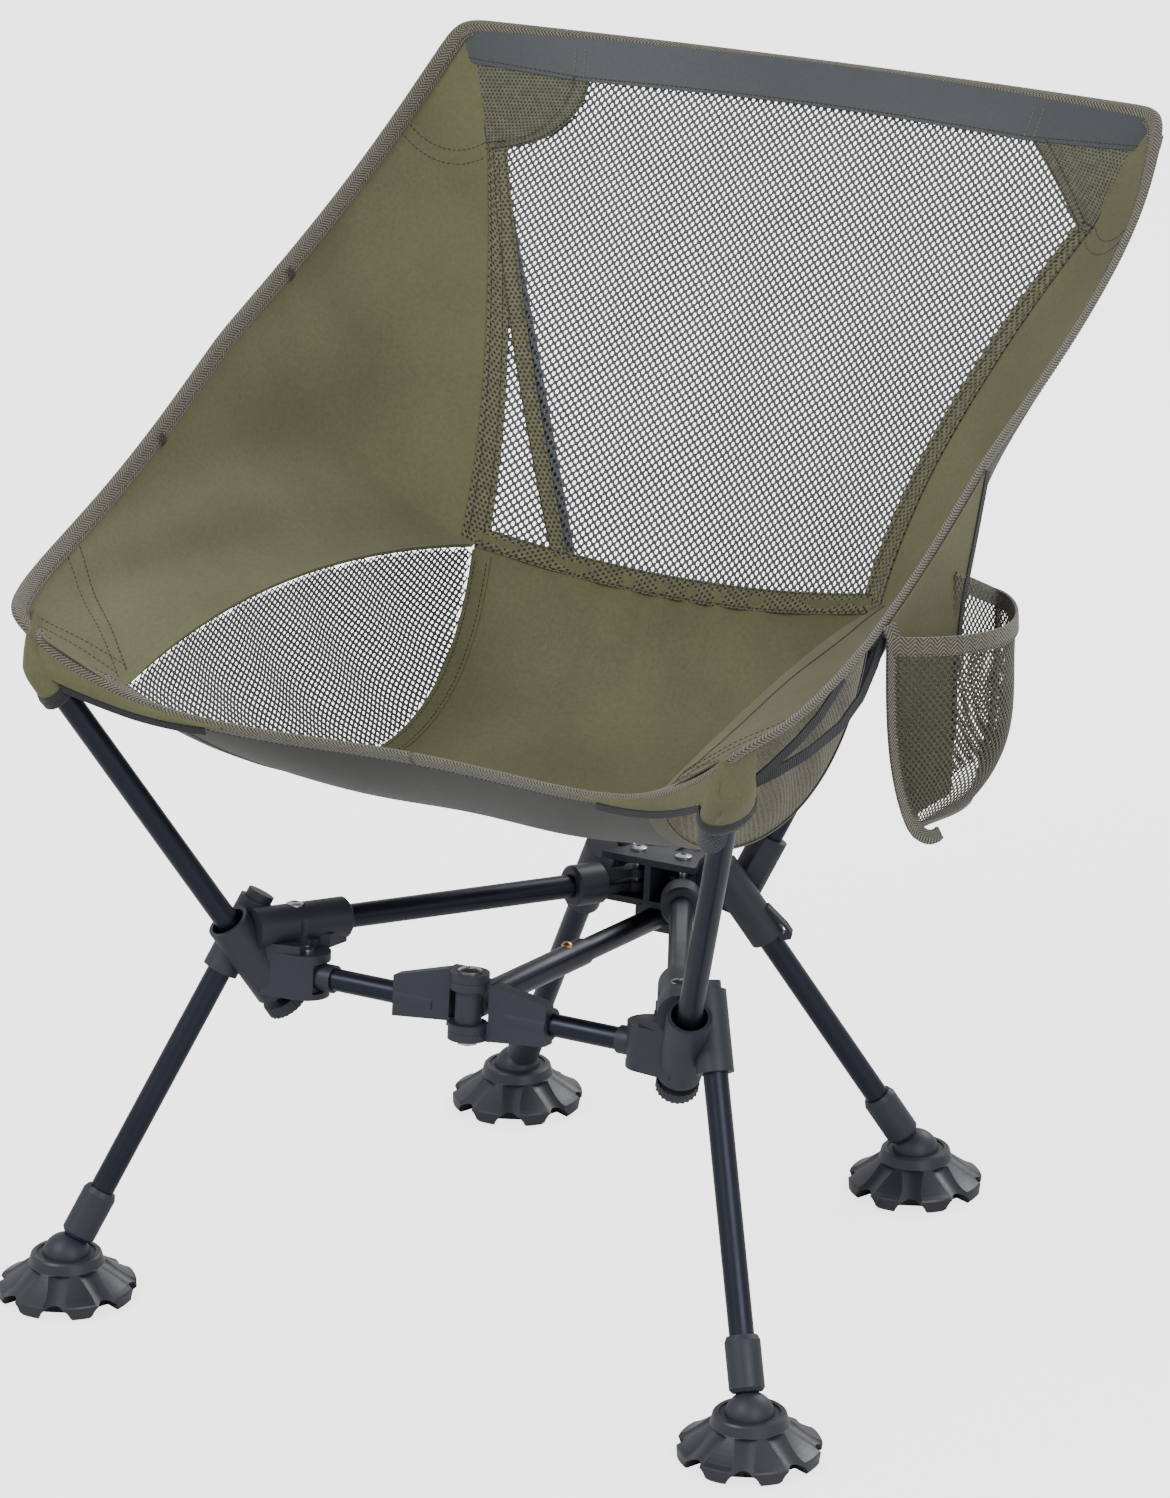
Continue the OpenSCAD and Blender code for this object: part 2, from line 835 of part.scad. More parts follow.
// Right-hand curves of the sling, each a function of 0 to 1
function wing_edge(t) =
    [227 + 20 * (1 - exp(-t / 0.06)) - 15 * pow(t, 12),
     mix(front_corner[1], back_corner[1], t),
     front_corner[2] + 190 * t + 42 * pow(t, 8) - 12 * sin(180 * min(t / 0.5, 1))];
function front_edge(t) =
    [227 * t, -250 - 53 * pow(abs(t), 1.8), front_edge_z + 58 * pow(abs(t), 4.2)];
function back_seam(t) =
    [131 * t, 60 - 16.5 * t * t, 360 + 18 * t * t];
function back_side(t) =
    [131 + 67 * pow(t, 1.7), 43.5 + 110 * t + 30.5 * t * t, 378 + 204 * t];
function top_edge(t) =
    [232 * t, 226 - 21 * t * t, 647 + 3 * t * t];
function low_seam(t) =
    [mix(junction[0], wing_front[0], t) + 12 * bump(t), mix(junction[1], wing_front[1], t),
     mix(junction[2], wing_front[2], t) + 19 * bump(t)];
// Inner boundary of the wing from the front, over the junction, to the top
function wing_root(t) =
    t < 0.52 ? low_seam(1 - t / 0.52)
    : t < 0.9 ? back_side((t - 0.52) / 0.38)
    : mix(strip_top, [214, 206, 645], (t - 0.9) / 0.1);

// Points on the panels; u runs from side to side, v from front to rear or bottom to top
function on_wing(u, v) =
    let (a = wing_root(v), b = wing_edge(v), n = unit([0.62, 0.25, -0.75]))
    mix(a, b, u) + 16 * bump(u) * sin(180 * pow(v, 0.9)) * n;
// Bowl of the seat: its middle line and the seam where the side mesh begins
function seat_middle(v) =
    bezier([0, -250, front_edge_z], [0, -183, front_edge_z - 87 * seat_depth / 91],
        [0, 25, front_edge_z - 148 * seat_depth / 91], [0, 60, front_edge_z], v);
function seat_side(v) =
    bezier(wing_front, [120, -189, front_edge_z - 73 * seat_depth / 91],
        [132, 5, front_edge_z - 138 * seat_depth / 91], junction, v);
function on_seat(u, v) =
    let (m = seat_middle(v), s = seat_side(v), f = front_edge(0.749 * u), fade = pow(1 - v, 4),
         g = [wing_front[0] * u, mix(-250, wing_front[1], u * u),
              mix(front_edge_z, wing_front[2], u * u)])
    [s[0] * u, mix(m[1], s[1], u * u), mix(m[2], s[2], u * u)] + fade * (f - g);
function on_side(u, v) =
    mix(seat_side(v), low_seam(1 - v), u) + 9 * bump(u) * sin(180 * v) * [1, 0, -0.4];
function on_back(u, v) =
    let (t = min(v / 0.85, 1), s = back_side(t), top = max(0, (v - 0.85) / 0.15),
         e = mix(s, [214, 207, 646], top), c = back_centre(v))
    [u * e[0], mix(c[1], e[1], u * u), mix(c[2], e[2], u * u)];
function back_centre(v) = [0, 60 + 166 * pow(v, 1.15), mix(360, 646, v)];

// Closed sheet of thickness t through a grid of points
module sheet(rows, t) {
    n = len(rows);
    m = len(rows[0]);
    function normal(i, j) =
        unit(cross(rows[min(i + 1, n - 1)][j] - rows[max(i - 1, 0)][j],
            rows[i][min(j + 1, m - 1)] - rows[i][max(j - 1, 0)]));
    top = [for (i = [0 : n - 1]) for (j = [0 : m - 1]) rows[i][j] + normal(i, j) * t / 2];
    low = [for (i = [0 : n - 1]) for (j = [0 : m - 1]) rows[i][j] - normal(i, j) * t / 2];
    function at(i, j) = i * m + j;
    k = n * m;
    faces = concat(
        [for (i = [0 : n - 2]) for (j = [0 : m - 2]) each [[at(i, j), at(i + 1, j), at(i, j + 1)],
            [at(i + 1, j), at(i + 1, j + 1), at(i, j + 1)]]],
        [for (i = [0 : n - 2]) for (j = [0 : m - 2]) each [[k + at(i, j), k + at(i, j + 1), k + at(i + 1, j)],
            [k + at(i + 1, j), k + at(i, j + 1), k + at(i + 1, j + 1)]]],
        [for (i = [0 : n - 2]) each [[at(i, 0), k + at(i, 0), k + at(i + 1, 0)],
            [at(i, 0), k + at(i + 1, 0), at(i + 1, 0)],
            [at(i, m - 1), at(i + 1, m - 1), k + at(i + 1, m - 1)],
            [at(i, m - 1), k + at(i + 1, m - 1), k + at(i, m - 1)]]],
        [for (j = [0 : m - 2]) each [[at(0, j), at(0, j + 1), k + at(0, j + 1)],
            [at(0, j), k + at(0, j + 1), k + at(0, j)],
            [at(n - 1, j), k + at(n - 1, j + 1), at(n - 1, j + 1)],
            [at(n - 1, j), k + at(n - 1, j), k + at(n - 1, j + 1)]]]);
    polyhedron(points = concat(top, low), faces = faces);
}

function steps(a, b, n) = [for (i = [0 : n]) mix(a, b, i / n)];

module seat_panel() {
    color(olive_col)
        sheet([for (v = steps(0.02, 0.985, 16)) [for (u = steps(-0.97, 0.97, 16)) on_seat(u, v)]], fabric_t);
}

module back_panel() {
    color(olive_col)
        sheet([for (v = steps(0.015, 0.98, 16)) [for (u = steps(-0.97, 0.97, 16)) on_back(u, v)]], fabric_t);
}

module wing(right) {
    color(olive_col)
        side(right)
            sheet([for (v = steps(0.02, 0.87, 24))
                let (wide = norm(wing_edge(v) - wing_root(v)))
                [for (u = steps(6 / wide, 1 - 7.5 / wide, 8)) on_wing(u, v)]], fabric_t);
}

// Open mesh between the bowl and the wing's lower seam
module side_panel(right) {
    color(mesh_col)
        side(right)
            sheet([for (v = steps(0.12, 0.9, 16)) [for (u = steps(0.06, 0.92, 6)) on_side(u, v)]], 2);
}

// Round cord that follows the whole outer edge
function binding_path() =
    concat([for (t = steps(-1, 0.94, 20)) front_edge(t)],
        [for (t = steps(0, 1, 20)) wing_edge(t)],
        [for (t = steps(0.94, -1, 16)) top_edge(t)],
        [for (t = steps(0.95, 0.05, 18)) flip(wing_edge(t))]);

module edge_binding() {
    path = binding_path();
    n = len(path);
    sides = 6;
    function ring(i) =
        let (d = unit(path[(i + 1) % n] - path[(i + n - 1) % n]),
             a = unit(cross(d, [0.3, 0.5, 0.8])), b = cross(d, a))
        [for (k = [0 : sides - 1])
            path[i] + binding_d / 2 * (cos(k * 360 / sides) * a + sin(k * 360 / sides) * b)];
    color(binding_col)
        polyhedron(
            points = [for (i = [0 : n - 1]) each ring(i)],
            faces = [for (i = [0 : n - 1]) for (k = [0 : sides - 1])
                let (p = i * sides, q = ((i + 1) % n) * sides, l = (k + 1) % sides)
                [p + k, p + l, q + l, q + k]]);
}

// Fabric sock over an arm's end, sewn under the wing's front corner
module front_pocket(right) {
    start = arm_tip - 2 * arm_dir;
    color(olive_col)
        side(right)
            difference() {
                along(start, arm_dir)
                    rotate_extrude()
                        polygon([[0, 0], [10.5, 0], [10.5, 12], [9, 25], [0, 25]]);
                along(start - arm_dir, arm_dir)
                    cylinder(h = 23, r = tube_d / 2 + 0.6);
            }
}

// D-shaped mesh cup for a bottle, with a flap that hangs from the right-hand edge
module bottle_pocket() {
    back = wing_edge(0.4)[0] + binding_d / 2 + 1.5;
    flap_t = 2;
    wall = 2.5;
    cup_r = 62;
    sink = 21;
    cup_y = -110;
    cup_bottom = 330;
    cup_h = 110;
    color(olive_col)
        difference() {
            union() {
                translate([back, 0, 0])
                    rotate([90, 0, 90])
                        linear_extrude(height = flap_t)
                            polygon([[-168, cup_bottom], [-55, cup_bottom], [-55, 430], [-95, 462],
                                     [-62, 500], [-168, 448]]);
                intersection() {
                    translate([back - sink, cup_y, cup_bottom])
                        cylinder(h = cup_h, r = cup_r);
                    translate([back + cup_r, cup_y, cup_bottom + cup_h / 2])
                        cube([2 * cup_r, 4 * cup_r, 2 * cup_h], center = true);
                }
            }
            intersection() {
                translate([back - sink, cup_y, cup_bottom + wall])
                    cylinder(h = cup_h, r = cup_r - wall);
                translate([back + flap_t + cup_r, cup_y, cup_bottom + cup_h / 2])
                    cube([2 * cup_r, 4 * cup_r, 2 * cup_h], center = true);
            }
        }
}

// Puts the middle of the chair's outline, seen from above, over the origin
module placed() {
    translate(-outline_middle)
        children();
}

placed() hub_plate();
placed() hub_housing();
placed() pivot_screws();
placed() rear_axles();
placed() strut_inner_tube();
placed() snap_spring();
placed() strut_sleeve();
placed() strut_eye();
placed() hinge_bolt();
placed() snap_button();
placed() link_tube(true);  // link_tube_right
placed() hinge_bracket(true);  // hinge_bracket_right
placed() link_eye(true);  // link_eye_right
placed() link_tube(false);  // link_tube_left
placed() hinge_bracket(false);  // hinge_bracket_left
placed() link_eye(false);  // link_eye_left
placed() side_tube(true);  // side_tube_right
placed() pivot_fork(true);  // pivot_fork_right
placed() corner_fitting(true);  // corner_fitting_right
placed() arm_tube(true);  // arm_tube_right
placed() front_leg_tube(true);  // front_leg_tube_right
placed() fitting_screws(true);  // fitting_screws_right
placed() arm_nut(true);  // arm_nut_right
placed() front_ball_end(true);  // front_ball_right
placed() side_tube(false);  // side_tube_left
placed() pivot_fork(false);  // pivot_fork_left
placed() corner_fitting(false);  // corner_fitting_left
placed() arm_tube(false);  // arm_tube_left
placed() front_leg_tube(false);  // front_leg_tube_left
placed() fitting_screws(false);  // fitting_screws_left
placed() arm_nut(false);  // arm_nut_left
placed() front_ball_end(false);  // front_ball_left
placed() upright_tube(true);  // upright_tube_right
placed() upright_socket(true);  // upright_socket_right
placed() upright_tube(false);  // upright_tube_left
placed() upright_socket(false);  // upright_socket_left
placed() rear_leg_tube(true);  // rear_leg_tube_right
placed() rear_leg_sleeve(true);  // rear_leg_sleeve_right
placed() rear_ball_end(true);  // rear_ball_right
placed() rear_leg_tube(false);  // rear_leg_tube_left
placed() rear_leg_sleeve(false);  // rear_leg_sleeve_left
placed() rear_ball_end(false);  // rear_ball_left
placed() ball_ring(front_ball);  // front_ring_right
placed() ball_ring(flip(front_ball));  // front_ring_left
placed() ball_ring(rear_ball);  // rear_ring_right
placed() ball_ring(flip(rear_ball));  // rear_ring_left
placed() foot(front_ball);  // front_foot_right
placed() foot(flip(front_ball));  // front_foot_left
placed() foot(rear_ball);  // rear_foot_right
placed() foot(flip(rear_ball));  // rear_foot_left
placed() seat_panel();
placed() back_panel();
placed() wing(true);  // wing_right
placed() wing(false);  // wing_left
placed() side_panel(true);  // side_panel_right
placed() side_panel(false);  // side_panel_left
placed() edge_binding();
placed() front_pocket(true);  // front_pocket_right
placed() front_pocket(false);  // front_pocket_left
placed() bottle_pocket();
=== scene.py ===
import math

import bpy
import numpy as np
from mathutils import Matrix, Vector
from mathutils.bvhtree import BVHTree


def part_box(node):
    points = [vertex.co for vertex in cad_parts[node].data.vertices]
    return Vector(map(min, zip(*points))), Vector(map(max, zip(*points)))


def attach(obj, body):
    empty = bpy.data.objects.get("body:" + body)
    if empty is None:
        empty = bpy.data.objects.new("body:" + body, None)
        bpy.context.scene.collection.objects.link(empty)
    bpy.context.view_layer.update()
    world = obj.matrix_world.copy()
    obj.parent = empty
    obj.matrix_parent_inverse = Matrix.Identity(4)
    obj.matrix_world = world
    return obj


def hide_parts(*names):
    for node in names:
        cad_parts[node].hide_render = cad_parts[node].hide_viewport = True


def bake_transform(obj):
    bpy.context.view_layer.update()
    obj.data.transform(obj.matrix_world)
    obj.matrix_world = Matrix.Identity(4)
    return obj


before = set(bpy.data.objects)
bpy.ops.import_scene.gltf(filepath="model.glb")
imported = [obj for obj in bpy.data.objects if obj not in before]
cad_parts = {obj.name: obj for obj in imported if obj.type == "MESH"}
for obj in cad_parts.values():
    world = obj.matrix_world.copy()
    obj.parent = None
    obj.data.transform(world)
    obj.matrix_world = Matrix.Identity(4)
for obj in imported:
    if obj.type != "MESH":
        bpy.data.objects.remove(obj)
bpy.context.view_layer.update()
MM = 0.001
V3 = np.array

# ---------------------------------------------------------------- anchors from the CAD frame


def box(node):
    return np.array(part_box(node)) / MM


# this file measures from the chair's mirror plane and the hub's cross axis
FRONT_REACH = 305.965
OFFSET = V3([box("edge_binding")[:, 0].mean(), box("edge_binding")[0][1] + FRONT_REACH, 0.0])


def low(node):
    return box(node)[0] - OFFSET


def high(node):
    return box(node)[1] - OFFSET


CORD = 3.5
EDGE_X = high("edge_binding")[0] - CORD
EDGE_Y = low("edge_binding")[1] + CORD
FRONT_Z = low("edge_binding")[2] + CORD
TOP_Z = high("edge_binding")[2] - CORD
cup_low, cup_high = low("bottle_pocket"), high("bottle_pocket")
SITTER = V3([0.0, -60.0, 560.0])


def tube_ends(node, radius):
    """Ends of a straight round tube on the right-hand side, from its vertices."""
    co = np.array([v.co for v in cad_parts[node].data.vertices]) / MM - OFFSET
    mid = co.mean(0)
    axis = np.linalg.svd(co - mid)[2][0]
    axis = axis * (1 if axis[2] > 0 else -1)
    along = (co - mid) @ axis
    lo, hi = co[along < along.min() + radius / 2].mean(0), co[along > along.max() - radius / 2].mean(0)
    return lo, hi, axis


ARM_LOW, ARM_END, ARM_DIR = tube_ends("arm_tube_right", 7)
POST_LOW, POST_END, POST_DIR = tube_ends("upright_tube_right", 7)
ARM_TIP = ARM_END - 19.5 * ARM_DIR

# ---------------------------------------------------------------- curves of the sling, millimetres


def mix(a, b, t):
    return a + (b - a) * t


def bump(t):
    return 4 * t * (1 - t)


def stack(x, y, z):
    return np.stack(np.broadcast_arrays(x, y, z), axis=-1).astype(float)


def unit(v):
    return v / np.maximum(np.linalg.norm(v, axis=-1, keepdims=True), 1e-9)


WIDE = EDGE_X / 247.0
CORNER_Y = EDGE_Y
BACK_Y = 205.0
WING_FRONT = V3([170.0, CORNER_Y + 23, FRONT_Z + 18])
JUNCTION = V3([131.0, 43.5, FRONT_Z + 18])
STRIP_TOP = V3([198.0, 184.0, TOP_Z - 68])
ROOT_TOP = V3([214.0, 206.0, TOP_Z - 5])


def wing_edge(t):
    t = np.asarray(t, float)
    x = WIDE * (227 + 20 * (1 - np.exp(-t / 0.06)) - 15 * t ** 12)
    z = FRONT_Z + 58 + 190 * t + 42 * t ** 8 - 12 * np.sin(np.pi * np.minimum(t / 0.5, 1))
    return stack(x, mix(CORNER_Y, BACK_Y, t), z)


def front_edge(t):
    t = np.asarray(t, float)
    a = np.abs(t)
    return stack(WIDE * 227 * t, CORNER_Y + 53 - 53 * a ** 1.8, FRONT_Z + 58 * a ** 4.2)


def back_side(t):
    t = np.asarray(t, float)
    return stack(131 + 67 * t ** 1.7, 43.5 + 110 * t + 30.5 * t * t, mix(JUNCTION[2], STRIP_TOP[2], t))


def top_edge(t):
    t = np.asarray(t, float)
    return stack(232 * t, 226 - 21 * t * t, TOP_Z - 3 + 3 * t * t)


def low_seam(t):
    t = np.asarray(t, float)
    b = bump(t)
    p = [mix(JUNCTION[k], WING_FRONT[k], t) for k in range(3)]
    return stack(p[0] + 12 * b, p[1], p[2] + 19 * b)


def wing_root(t):
    t = np.asarray(t, float)
    a = low_seam(1 - np.clip(t / 0.52, 0, 1))
    b = back_side(np.clip((t - 0.52) / 0.38, 0, 1))
    c = STRIP_TOP + (ROOT_TOP - STRIP_TOP) * np.clip((t - 0.9) / 0.1, 0, 1)[..., None]
    return np.where((t < 0.52)[..., None], a, np.where((t < 0.9)[..., None], b, c))


OUT = unit(V3([0.62, 0.25, -0.75]))


def on_wing(u, v):
    u, v = np.broadcast_arrays(np.asarray(u, float), np.asarray(v, float))
    a, b = wing_root(v), wing_edge(v)
    belly = 16 * bump(u) * np.sin(np.pi * np.clip(v, 0, 1) ** 0.9)
    p = a + (b - a) * u[..., None]
    fold = 2.6 * np.sin(9.5 * u + 17 * v) * bump(np.clip(v * 1.25, 0, 1)) * bump(u)
    fold += 1.7 * np.sin(24 * v - 7 * u + 1) * bump(np.clip(v * 1.6 - 0.25, 0, 1)) * bump(u)
    crease = np.exp(-((v - 0.16 * u - 0.015) / 0.018) ** 2) * bump(np.clip(u, 0, 1)) * 2.4
    pull = 1.8 * np.sin(52 * v / (0.25 + u)) * np.exp(-v / 0.07) * bump(u)
    return p + (belly + fold - crease + pull)[..., None] * OUT


def bezier(a, b, c, d, t):
    t = np.asarray(t, float)[..., None]
    return (1 - t) ** 3 * V3(a) + 3 * t * (1 - t) ** 2 * V3(b) + 3 * t * t * (1 - t) * V3(c) + t ** 3 * V3(d)


DEEP = FRONT_Z - low("seat_panel")[2] - 1.5
MID_Y = CORNER_Y + 53


def seat_middle(v):
    z1, z2 = FRONT_Z - 0.956 * DEEP, FRONT_Z - 1.626 * DEEP
    return bezier([0, MID_Y, FRONT_Z], [0, -183, z1], [0, 25, z2], [0, 60, FRONT_Z], v)


def seat_side(v):
    """Seam between the solid bowl of the seat and the side mesh."""
    z1, z2 = FRONT_Z - 0.802 * DEEP, FRONT_Z - 1.516 * DEEP
    return bezier(WING_FRONT, [120, -189, z1], [132, 5, z2], JUNCTION, v)


def on_seat(u, v):
    u, v = np.broadcast_arrays(np.asarray(u, float), np.asarray(v, float))
    m, s, f = seat_middle(v), seat_side(v), front_edge(0.749 * u)
    w = u * u
    g = stack(WING_FRONT[0] * u, mix(MID_Y, WING_FRONT[1], w), mix(FRONT_Z, WING_FRONT[2], w))
    p = stack(s[..., 0] * u, mix(m[..., 1], s[..., 1], w), mix(m[..., 2], s[..., 2], w))
    ripple = 1.2 * np.sin(30 * u + 3 * np.sin(5 * u)) * np.clip((v - 0.7) / 0.3, 0, 1) ** 2 * (1 - w)
    ripple += 2.2 * np.sin(6 * u + 5.5 * v + 0.8) * bump(v) * (1 - w)
    p = p + (1 - v[..., None]) ** 4 * (f - g)
    p[..., 1] -= ripple * np.clip(v, 0, 1)
    p[..., 2] += ripple * (1 - 0.5 * v)
    return p


def on_side(u, v):
    """Side mesh, from the bowl's seam up to the wing's lower seam."""
    u, v = np.broadcast_arrays(np.asarray(u, float), np.asarray(v, float))
    a, b = seat_side(v), low_seam(1 - v)
    out = 9 * bump(u) * np.sin(np.pi * v)
    out = out + 1.5 * np.sin(38 * v + 5 * u) * bump(u) * bump(v)
    return a + (b - a) * u[..., None] + out[..., None] * V3([1.0, 0.0, -0.4])


def on_back(u, v):
    u, v = np.broadcast_arrays(np.asarray(u, float), np.asarray(v, float))
    s = back_side(np.minimum(v / 0.85, 1))
    t = np.clip((v - 0.85) / 0.15, 0, 2)[..., None]
    e = s + (ROOT_TOP - s) * t
    cy, cz = 60 + 166 * v ** 1.15, mix(FRONT_Z, TOP_Z - 4, v)
    y = mix(cy, e[..., 1], u * u)
    z = mix(cz, e[..., 2], u * u)
    wave = 1.1 * np.sin(11 * u + 6 * v) * bump(np.clip(v, 0, 1)) * (1 - np.minimum(u * u, 1))
    return stack(u * e[..., 0], y + wave, z)


def flip(p):
    return p * V3([-1.0, 1.0, 1.0])


# ---------------------------------------------------------------- materials


def new_material(name):
    m = bpy.data.materials.new(name)
    m.use_nodes = True
    return m, m.node_tree.nodes, m.node_tree.links


def ramp(nodes, stops):
    r = nodes.new("ShaderNodeValToRGB")
    while len(r.color_ramp.elements) < len(stops):
        r.color_ramp.elements.new(0.5)
    for e, (pos, col) in zip(r.color_ramp.elements, stops):
        e.position = pos
        e.color = (*col, 1.0) if len(col) == 3 else col
    return r


def grey(v):
    return (v, v, v)


def math_node(nodes, links, op, a, b=None, c=None):
    n = nodes.new("ShaderNodeMath")
    n.operation = op
    for i, x in enumerate((a, b, c)):
        if x is None:
            continue
        if isinstance(x, (int, float)):
            n.inputs[i].default_value = x
        else:
            links.new(x, n.inputs[i])
    return n.outputs[0]


def uv_axes(nodes, links, scale):
    uv = nodes.new("ShaderNodeUVMap")
    sep = nodes.new("ShaderNodeSeparateXYZ")
    links.new(uv.outputs[0], sep.inputs[0])
    return [math_node(nodes, links, "MULTIPLY", sep.outputs[k], scale) for k in (0, 1)]


def surface(nodes, links, color, rough, height, strength, dist=0.0004, sheen=0.0, spec=0.3):
    b = nodes["Principled BSDF"]
    links.new(color, b.inputs["Base Color"])
    if isinstance(rough, (int, float)):
        b.inputs["Roughness"].default_value = rough
    else:
        links.new(rough, b.inputs["Roughness"])
    b.inputs["Sheen Weight"].default_value = sheen
    b.inputs["Sheen Roughness"].default_value = 0.6
    b.inputs["Specular IOR Level"].default_value = spec
    bm = nodes.new("ShaderNodeBump")
    bm.inputs["Strength"].default_value = strength
    bm.inputs["Distance"].default_value = dist
    links.new(height, bm.inputs["Height"])
    links.new(bm.outputs[0], b.inputs["Normal"])
    return b


def blotch(nodes, links, scale, lo, hi, detail=3.0):
    tex = nodes.new("ShaderNodeTexCoord")
    n = nodes.new("ShaderNodeTexNoise")
    n.inputs["Scale"].default_value = scale
    n.inputs["Detail"].default_value = detail
    links.new(tex.outputs["Object"], n.inputs["Vector"])
    r = nodes.new("ShaderNodeMapRange")
    r.inputs["From Min"].default_value = 0.3
    r.inputs["From Max"].default_value = 0.7
    r.inputs["To Min"].default_value = lo
    r.inputs["To Max"].default_value = hi
    links.new(n.outputs[0], r.inputs["Value"])
    return r.outputs[0]


def tint(nodes, links, color, factor):
    m = nodes.new("ShaderNodeMix")
    m.data_type = "RGBA"
    m.blend_type = "MULTIPLY"
    m.inputs["Factor"].default_value = 1.0
    if isinstance(color, tuple):
        m.inputs[6].default_value = (*color, 1)
    else:
        links.new(color, m.inputs[6])
    links.new(factor, m.inputs[7])
    return m.outputs[2]


def woven(name, color, pitch=0.55, bump_strength=0.25, rough=0.66, sheen=0.08):
    """Plain weave: warp and weft threads of the given pitch, in millimetres."""
    m, n, l = new_material(name)
    u, v = uv_axes(n, l, math.pi / pitch)
    su = math_node(n, l, "SINE", u)
    sv = math_node(n, l, "SINE", v)
    weave = math_node(n, l, "MULTIPLY", su, sv)
    shade = math_node(n, l, "MULTIPLY_ADD", weave, 0.07, 0.97)
    wear = blotch(n, l, 14, 0.86, 1.1)
    fine = blotch(n, l, 420, 0.9, 1.08)
    f = math_node(n, l, "MULTIPLY", math_node(n, l, "MULTIPLY", shade, wear), fine)
    col = tint(n, l, color, f)
    rough_out = math_node(n, l, "MULTIPLY_ADD", wear, 0.1, rough - 0.08)
    surface(n, l, col, rough_out, weave, bump_strength, 0.00012, sheen)
    return m


def perforated(name, color, hole, px=3.1, py=2.7, size=0.29):
    """Spacer mesh: a closed knit with staggered dark dimples."""
    m, n, l = new_material(name)
    u, v = uv_axes(n, l, 1.0)
    row = math_node(n, l, "DIVIDE", v, py)
    odd = math_node(n, l, "FLOORED_MODULO", math_node(n, l, "FLOOR", row), 2.0)
    shift = math_node(n, l, "MULTIPLY", odd, 0.5)
    fu = math_node(n, l, "FRACT", math_node(n, l, "ADD", math_node(n, l, "DIVIDE", u, px), shift))
    fv = math_node(n, l, "FRACT", row)
    du = math_node(n, l, "MULTIPLY", math_node(n, l, "SUBTRACT", fu, 0.5), 1.15)
    dv = math_node(n, l, "MULTIPLY", math_node(n, l, "SUBTRACT", fv, 0.5), 0.95)
    r2 = math_node(n, l, "ADD", math_node(n, l, "MULTIPLY", du, du), math_node(n, l, "MULTIPLY", dv, dv))
    dist = math_node(n, l, "SQRT", r2)
    step = n.new("ShaderNodeMapRange")
    step.interpolation_type = "SMOOTHSTEP"
    step.inputs["From Min"].default_value = size - 0.09
    step.inputs["From Max"].default_value = size + 0.09
    l.new(dist, step.inputs["Value"])
    mixc = n.new("ShaderNodeMix")
    mixc.data_type = "RGBA"
    mixc.inputs[6].default_value = (*hole, 1)
    mixc.inputs[7].default_value = (*color, 1)
    l.new(step.outputs[0], mixc.inputs[0])
    col = tint(n, l, mixc.outputs[2], blotch(n, l, 260, 0.72, 1.2))
    surface(n, l, col, 0.75, step.outputs[0], 0.9, 0.0009, 0.2)
    return m


def knit(name, color, rough=0.6, scale=900):
    """Yarn of the open mesh, with a fine twist."""
    m, n, l = new_material(name)
    twist = blotch(n, l, scale, 0.62, 1.35, 1.0)
    col = tint(n, l, color, math_node(n, l, "MULTIPLY", twist, blotch(n, l, 22, 0.85, 1.12)))
    surface(n, l, col, rough, twist, 0.5, 0.0003, 0.15)
    return m


def herringbone(name, light, dark, pitch=2.2, half=4.2, strength=0.8):
    """Twill tape: V's that change direction every half width."""
    m, n, l = new_material(name)
    u, v = uv_axes(n, l, 1.0)
    saw = math_node(n, l, "PINGPONG", v, half)
    diag = math_node(n, l, "ADD", u, math_node(n, l, "MULTIPLY", saw, 1.0))
    wave = math_node(n, l, "SINE", math_node(n, l, "MULTIPLY", diag, 2 * math.pi / pitch))
    r = ramp(n, [(0.18, dark), (0.62, light)])
    l.new(math_node(n, l, "MULTIPLY_ADD", wave, 0.5, 0.5), r.inputs[0])
    col = tint(n, l, r.outputs[0], blotch(n, l, 500, 0.8, 1.15))
    surface(n, l, col, 0.72, wave, strength, 0.00025, 0.2)
    return m


def ribbed(name, light, dark, pitch=1.3):
    """Webbing with ribs across its length."""
    m, n, l = new_material(name)
    u, v = uv_axes(n, l, 1.0)
    wave = math_node(n, l, "SINE", math_node(n, l, "MULTIPLY", u, 2 * math.pi / pitch))
    r = ramp(n, [(0.2, dark), (0.7, light)])
    l.new(math_node(n, l, "MULTIPLY_ADD", wave, 0.5, 0.5), r.inputs[0])
    col = tint(n, l, r.outputs[0], blotch(n, l, 500, 0.85, 1.12))
    surface(n, l, col, 0.7, wave, 0.6, 0.0002, 0.15)
    return m


def plain(name, color, rough, metallic=0.0, grain=0.0, grain_scale=900.0, coat=0.0, spec=0.5, wear=0.12):
    """Metal or moulded plastic with uneven gloss and a fine grain."""
    m, n, l = new_material(name)
    g = blotch(n, l, grain_scale, 0.0, 1.0, 2.0)
    cloudy = blotch(n, l, 9, 1 - wear, 1 + wear)
    col = tint(n, l, color, cloudy)
    r = math_node(n, l, "MULTIPLY_ADD", blotch(n, l, 35, -1, 1), rough * 0.18, rough)
    b = surface(n, l, col, r, g, grain, 0.00015, 0.0, spec)
    b.inputs["Metallic"].default_value = metallic
    b.inputs["Coat Weight"].default_value = coat
    b.inputs["Coat Roughness"].default_value = 0.3
    return m


def brushed(name, color, rough):
    """Turned screw heads: fine rings and scratches."""
    m, n, l = new_material(name)
    g = blotch(n, l, 2500, 0.0, 1.0, 1.0)
    col = tint(n, l, color, blotch(n, l, 60, 0.8, 1.1))
    b = surface(n, l, col, rough, g, 0.15, 0.0001, 0.0, 0.5)
    b.inputs["Metallic"].default_value = 1.0
    return m


